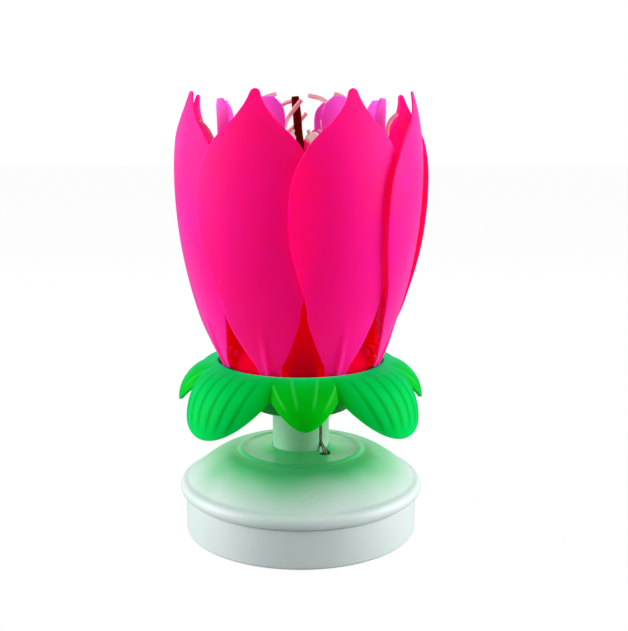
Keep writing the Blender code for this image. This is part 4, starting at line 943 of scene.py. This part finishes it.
# %% Eight petals
for number in range(1, 9):
    made = copy_turned(petal, f"bud_petal_{number}", petal_azimuth(number))
    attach(made, f"petal_{number}_assembly")
    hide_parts(f"petal_{number}")
bpy.data.objects.remove(petal)
print("petals made: 8")

# %% [markdown]
# ## What each petal carries
# Behind each petal stands a narrow pink leaf that widens into a rounded spoon. It carries a small cup
# for the candle and two thin stamens that lean over the middle.

# %% The leaf and its cup
LEAF_OUTLINE = ((0.0, 0.5), (0.12, 0.5), (0.45, 0.52), (0.7, 0.6), (0.82, 0.86), (0.91, 1.0),
                (0.965, 0.85), (1.0, 0.35))
LEAF_FOOT, LEAF_HEIGHT, LEAF_HALF_WIDTH = 49.05, 56, 4.0
LEAF_FOOT_RADIUS = petal_radius(LEAF_FOOT) - 1.4
CANDLE_TILT = math.radians(57)


def leaf_line(share):
    """Radius and height of the leaf's middle line, in mm, a share of the way up."""
    return LEAF_FOOT_RADIUS - 0.4 * math.sin(share * math.pi / 2), LEAF_FOOT + LEAF_HEIGHT * share


def leaf_place(x, y):
    """A point of the outer face of the leaf that stands on +X."""
    share = (y + 1) / 2
    radius, height = leaf_line(share)
    spoon = math.sin(math.pi * min(max((share - 0.7) / 0.3, 0), 1))
    angle = x * LEAF_HALF_WIDTH * read_curve(LEAF_OUTLINE, share) / radius
    return polar((radius - 0.7 * spoon * x * x) * MM, angle, height * MM)


leaf = wrapped("leaf_shape", 16, 70, leaf_place)
close_up(leaf)
if sum(face.normal.x for face in leaf.data.polygons) < 0:
    leaf.data.flip_normals()
carry_out(leaf, "SOLIDIFY", thickness=0.7 * MM, offset=-1)
carry_out(leaf, "BEVEL", width=0.2 * MM, segments=2, limit_method="ANGLE", angle_limit=SHARP)
seat_radius, seat_height = leaf_line(0.69)
seat = (Matrix.Translation(((seat_radius - 0.35) * MM, 0, seat_height * MM))
        @ Matrix.Rotation(-CANDLE_TILT, 4, "Y"))
socket = spun("socket", [(0, 0), (2.3, 0), (2.5, 0.2), (2.5, 2.85), (2.35, 3.0), (1.95, 3.0),
                         (1.8, 2.85), (1.8, 0.8), (0, 0.8)], 40)
socket.data.transform(seat)
leaf = joined("leaf_shape", leaf, socket)
coat(leaf, leaf_pink, 45)
print("one leaf:", count(leaf), "triangles")

# %% Where the stamens lean
# Two soft rods stand on each leaf and bend their own way. These are the free parts, in mm at rest.
STAMENS = {
    1: (((7.0, -9.0, 102.6), (5.0, -6.0, 104.8), (1.8, -4.0, 105.8)),
        ((10.1, -17.0, 102.4), (9.5, -14.0, 104.9), (7.5, -13.0, 105.8))),
    2: (((19.0, -5.0, 92.0), (19.6, -4.0, 94.4)), ((17.4, -9.6, 92.5), (15.8, -10.2, 94.6))),
    3: (((21.0, 7.5, 96.6), (21.2, 8.0, 98.5), (22.0, 8.5, 100.4), (23.5, 9.0, 101.8)),
        ((16.4, 10.6, 93.0), (14.8, 11.4, 95.0))),
    4: (((8.0, 14.0, 99.5), (6.9, 12.0, 101.4), (6.2, 12.0, 102.9)),
        ((5.6, 11.5, 97.2), (5.4, 10.0, 99.0), (5.2, 10.0, 100.4))),
    5: (((-6.8, 18.0, 102.3), (-4.5, 17.0, 104.4), (-2.5, 16.0, 105.1), (-0.5, 16.0, 105.5)),
        ((-3.4, 8.0, 97.3), (-1.7, 6.0, 98.7), (0.0, 6.0, 100.4), (1.4, 6.0, 102.0))),
    6: (((-21.1, 8.0, 94.1), (-22.0, 8.5, 96.6), (-23.3, 9.0, 98.7), (-25.0, 9.5, 100.2)),
        ((-16.6, 9.8, 93.0), (-15.0, 10.6, 95.0))),
    7: (((-19.2, -5.4, 92.0), (-19.8, -4.4, 94.4)), ((-16.6, -9.8, 92.5), (-15.2, -10.6, 94.6))),
    8: (((-9.6, -17.0, 102.8), (-8.4, -14.0, 104.7), (-5.6, -12.0, 105.8)),
        ((-3.9, -7.0, 98.4), (-2.8, -4.0, 100.9), (-1.4, -4.0, 102.9), (0.2, -4.0, 104.8))),
}
STAMEN_SIZE = 0.5


def stamen(name, number, side, free):
    """A rod from the face of a leaf, a little beside its middle, through its free points."""
    turn = petal_azimuth(number)
    height = free[0][2] - 5.0
    radius = leaf_line((height - LEAF_FOOT) / LEAF_HEIGHT)[0] - 0.3
    root = polar(radius, turn + side * 0.9 / radius, height)
    made = rod(name, [tuple(root), *free], [1.25 * STAMEN_SIZE] + [STAMEN_SIZE] * len(free))
    coat(made, stamen_pink, 50)
    return made


print("stamens:", sum(len(pair) for pair in STAMENS.values()))

# %% Stamens and the eight leaves
for number in range(1, 9):
    made = copy_turned(leaf, f"pink_leaf_{number}", petal_azimuth(number))
    rods = joined(f"stamens_{number}", *[stamen(f"stamen_{side}", number, side, free)
                                         for side, free in zip((1, -1), STAMENS[number])])
    for piece in (made, rods):
        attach(piece, f"petal_{number}_assembly")
    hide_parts(f"candle_leaf_{number}")
bpy.data.objects.remove(leaf)
print("leaves made: 8")

# %% [markdown]
# ## Candles
# Each candle is a short stick of wax in the leaf's cup. Its top is rounded and slightly drawn in, and a
# twisted cotton wick stands in it.

# %% Wax and cotton
wax = plastic("candle_wax", (0.86, 0.62, 0.55), (0.90, 0.70, 0.62), 0.4, 0.6,
              Subsurface_Weight=0.5, Subsurface_Radius=(1.0, 0.5, 0.3), Subsurface_Scale=2.0 * MM)
cotton, tree, shader = finish("twisted_cotton", Sheen_Weight=0.3, Specular_IOR_Level=0.2)
twist = add_node(tree, "TexWave", Scale=900, Distortion=1.5, Vector=object_place(tree))
strands = mix_node(tree, twist.outputs["Fac"], rgba(0.60, 0.56, 0.48), rgba(0.86, 0.83, 0.76))
connect_skin(tree, shader, strands, 0.8, 0.95)
print("finishes:", wax.name, cotton.name)

# %% Eight candles and wicks
outline = ([(0, 1.1), (1.4, 1.1), (1.5, 1.2), (1.5, 14.6)] + arc(0.9, 15.5, 0.6, 20, 90, 6)
           + [(0.6, 16.05), (0.6, 14.8), (0, 14.8)])
candle = spun("candle_shape", outline, 40)
candle.data.transform(seat)
coat(candle, wax, 45)
path = [(0, 0, 15.1), (0.03, 0.02, 16.2), (-0.05, 0.03, 17.4), (0.05, -0.04, 18.65)]
wick = rod("wick_shape", path, 0.3, steps=6)
wick.data.transform(seat)
coat(wick, cotton, 50)
for number in range(1, 9):
    turn = petal_azimuth(number)
    stick = copy_turned(candle, f"wax_candle_{number}", turn)
    string = copy_turned(wick, f"cotton_wick_{number}", turn)
    for piece, node, finish_slot in ((stick, "candle", "wax"), (string, "candle_wick", "cotton")):
        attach(piece, f"petal_{number}_assembly")
        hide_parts(f"{node}_{number}")
bpy.data.objects.remove(candle)
bpy.data.objects.remove(wick)
print("candles made: 8")

# %% [markdown]
# ## Fountain, fuse and thread
# The fountain is a rolled card tube with a dark charge in its top, and a thin wrapped fuse leans out of
# it. A cotton thread runs from the tube to each leaf and holds the bud shut until the fountain burns it.

# %% Card and fuse paper
def paper_finish(name, light, dark, turns, tilt):
    """Card whose winding shows as fine slanted lines."""
    made, tree, shader = finish(name, Specular_IOR_Level=0.02)
    slant = add_node(tree, "Mapping", Rotation=(0, tilt, 0), Vector=object_place(tree))
    winding = add_node(tree, "TexWave", Scale=turns, Distortion=2.0, Detail=2.0,
                       Vector=slant.outputs["Vector"])
    winding.bands_direction = "Z"
    colour = mix_node(tree, winding.outputs["Fac"], rgba(*dark), rgba(*light))
    connect_skin(tree, shader, colour, 0.75, 0.95, 400.0, 0.05 * MM)
    return made


card = paper_finish("rolled_card", (0.42, 0.10, 0.12), (0.32, 0.06, 0.08), 60, 0.5)
fuse_paper = paper_finish("fuse_paper", (0.12, 0.003, 0.002), (0.085, 0.002, 0.001), 220, 0.4)
print("finishes:", card.name, fuse_paper.name)

# %% The fountain tube and the fuse
outline = [(0, 38.33), (3.8, 38.33), (4.0, 38.53), (4.0, 92.13), (3.8, 92.33), (3.1, 92.33), (2.9, 92.15),
           (2.75, 91.8), (1.6, 91.75), (1.35, 91.65), (1.35, 91.3), (0, 91.3)]
tube = spun("card_tube", outline, 72)
coat(tube, card, 35)
lean = Matrix.Rotation(math.radians(-5.5), 4, "Y")
points = [tuple(lean @ Vector((x, y, z)) + Vector((0, 0, 91.8))) for x, y, z in
          ((0, 0, 0), (0.05, 0, 3), (-0.04, 0.03, 6), (0.05, 0, 9), (0, 0, 11.8), (0, 0, 14.0))]
stick = rod("fuse_stick", points, [1.0, 1.04, 1.02, 1.04, 1.02, 0.9], sides=5)
coat(stick, fuse_paper, 45)
for piece, node, finish_slot in ((tube, "fountain_tube", "card_tube"), (stick, "fuse", "fuse_red")):
    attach(piece, "turntable")
    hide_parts(node)
    print(piece.name, count(piece), "triangles")

# %% The thread
LEVEL, KNOT_LEVEL = 79.74, 79.49
LOOP_RADIUS, THREAD_RADIUS = 4.55, 0.22
loop = [tuple(polar(LOOP_RADIUS, TURN * step / 24, LEVEL)) for step in range(25)]
threads = [rod("thread", loop, THREAD_RADIUS, 4, round_ends=False)]
end = leaf_line((KNOT_LEVEL - LEAF_FOOT) / LEAF_HEIGHT)[0] - 1.0
for number in range(1, 9):
    turn = petal_azimuth(number)
    spoke = [tuple(polar(radius, turn, LEVEL)) for radius in (4.6, (4.6 + end) / 2, end)]
    threads.append(rod(f"spoke_{number}", spoke, THREAD_RADIUS, 6))
thread = joined("holding_thread", *threads)
coat(thread, cotton, 50)
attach(thread, "turntable")
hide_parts("hold_thread")
print("thread:", count(thread), "triangles")

# %% [markdown]
# ## Works inside the base
# The gears, motor, cells, board and screws already have their true shapes in the CAD, so those nodes
# stay and only get better finishes: brushed steel, brass, nylon, green laminate and black resin.

# %% Metals
def brushed(name, colour, low, high, stretch):
    """Metal with fine lines along one direction."""
    made, tree, shader = finish(name, Metallic=1.0)
    drawn = add_node(tree, "Mapping", Scale=stretch, Vector=object_place(tree))
    lines = noise_node(tree, drawn.outputs["Vector"], 4, scale=500)
    darker = [0.82 * part for part in colour]
    tint = use(tree, clouds, Colour=rgba(*colour), Other_Colour=rgba(*darker), Scale=90.0)
    bump = add_node(tree, "Bump", Distance=0.01 * MM, Height=lines)
    feed(tree, shader, Base_Color=tint.outputs["Colour"], Normal=bump.outputs["Normal"],
         Roughness=spread_node(tree, lines, 0.3, 0.7, low, high))
    return made


steel = brushed("plated_steel", (0.62, 0.62, 0.64), 0.2, 0.38, (1, 1, 8))
brass = brushed("plain_brass", (0.75, 0.55, 0.22), 0.24, 0.42, (8, 1, 1))
nylon = plastic("gear_nylon", (0.82, 0.80, 0.72), (0.86, 0.84, 0.77), 0.4, 0.55, Subsurface_Weight=0.2,
                Subsurface_Scale=1.0 * MM)
plate_white = plastic("plate_white", (0.76, 0.78, 0.77), (0.80, 0.82, 0.81), 0.35, 0.5)
laminate = plastic("board_laminate", (0.02, 0.16, 0.06), (0.03, 0.22, 0.08), 0.35, 0.5, Coat_Weight=0.3)
resin = plastic("black_resin", (0.012, 0.012, 0.012), (0.02, 0.02, 0.02), 0.2, 0.4)
print("finishes:", steel.name, brass.name, nylon.name, laminate.name, resin.name)

# %% Finishes on the CAD nodes that stay
FINISH_OF = {
    "ring_gear": nylon, "idler_gear": nylon, "mechanism_plate": plate_white, "motor_pinion": brass,
    "motor": steel, "idler_axle": steel, "pivot_screw": steel, "dome_screw_1": steel,
    "dome_screw_2": steel, "cell_1": steel, "cell_2": steel, "cell_contact_lower": brass,
    "cell_contact_upper": brass, "piezo_sounder": brass, "circuit_board": laminate, "music_chip": resin,
    "trigger_switch": resin,
}
for node, chosen in FINISH_OF.items():
    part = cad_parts[node]
    part.data.materials.clear()
    part.data.materials.append(chosen)
print("nodes that stay:", len(FINISH_OF))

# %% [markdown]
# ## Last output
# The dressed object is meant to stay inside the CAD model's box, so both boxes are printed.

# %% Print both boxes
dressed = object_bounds()
for label, (low, high) in (("CAD", cad_box), ("dressed", dressed)):
    print(label, [round(1000 * value, 2) for value in (*low, *high)])
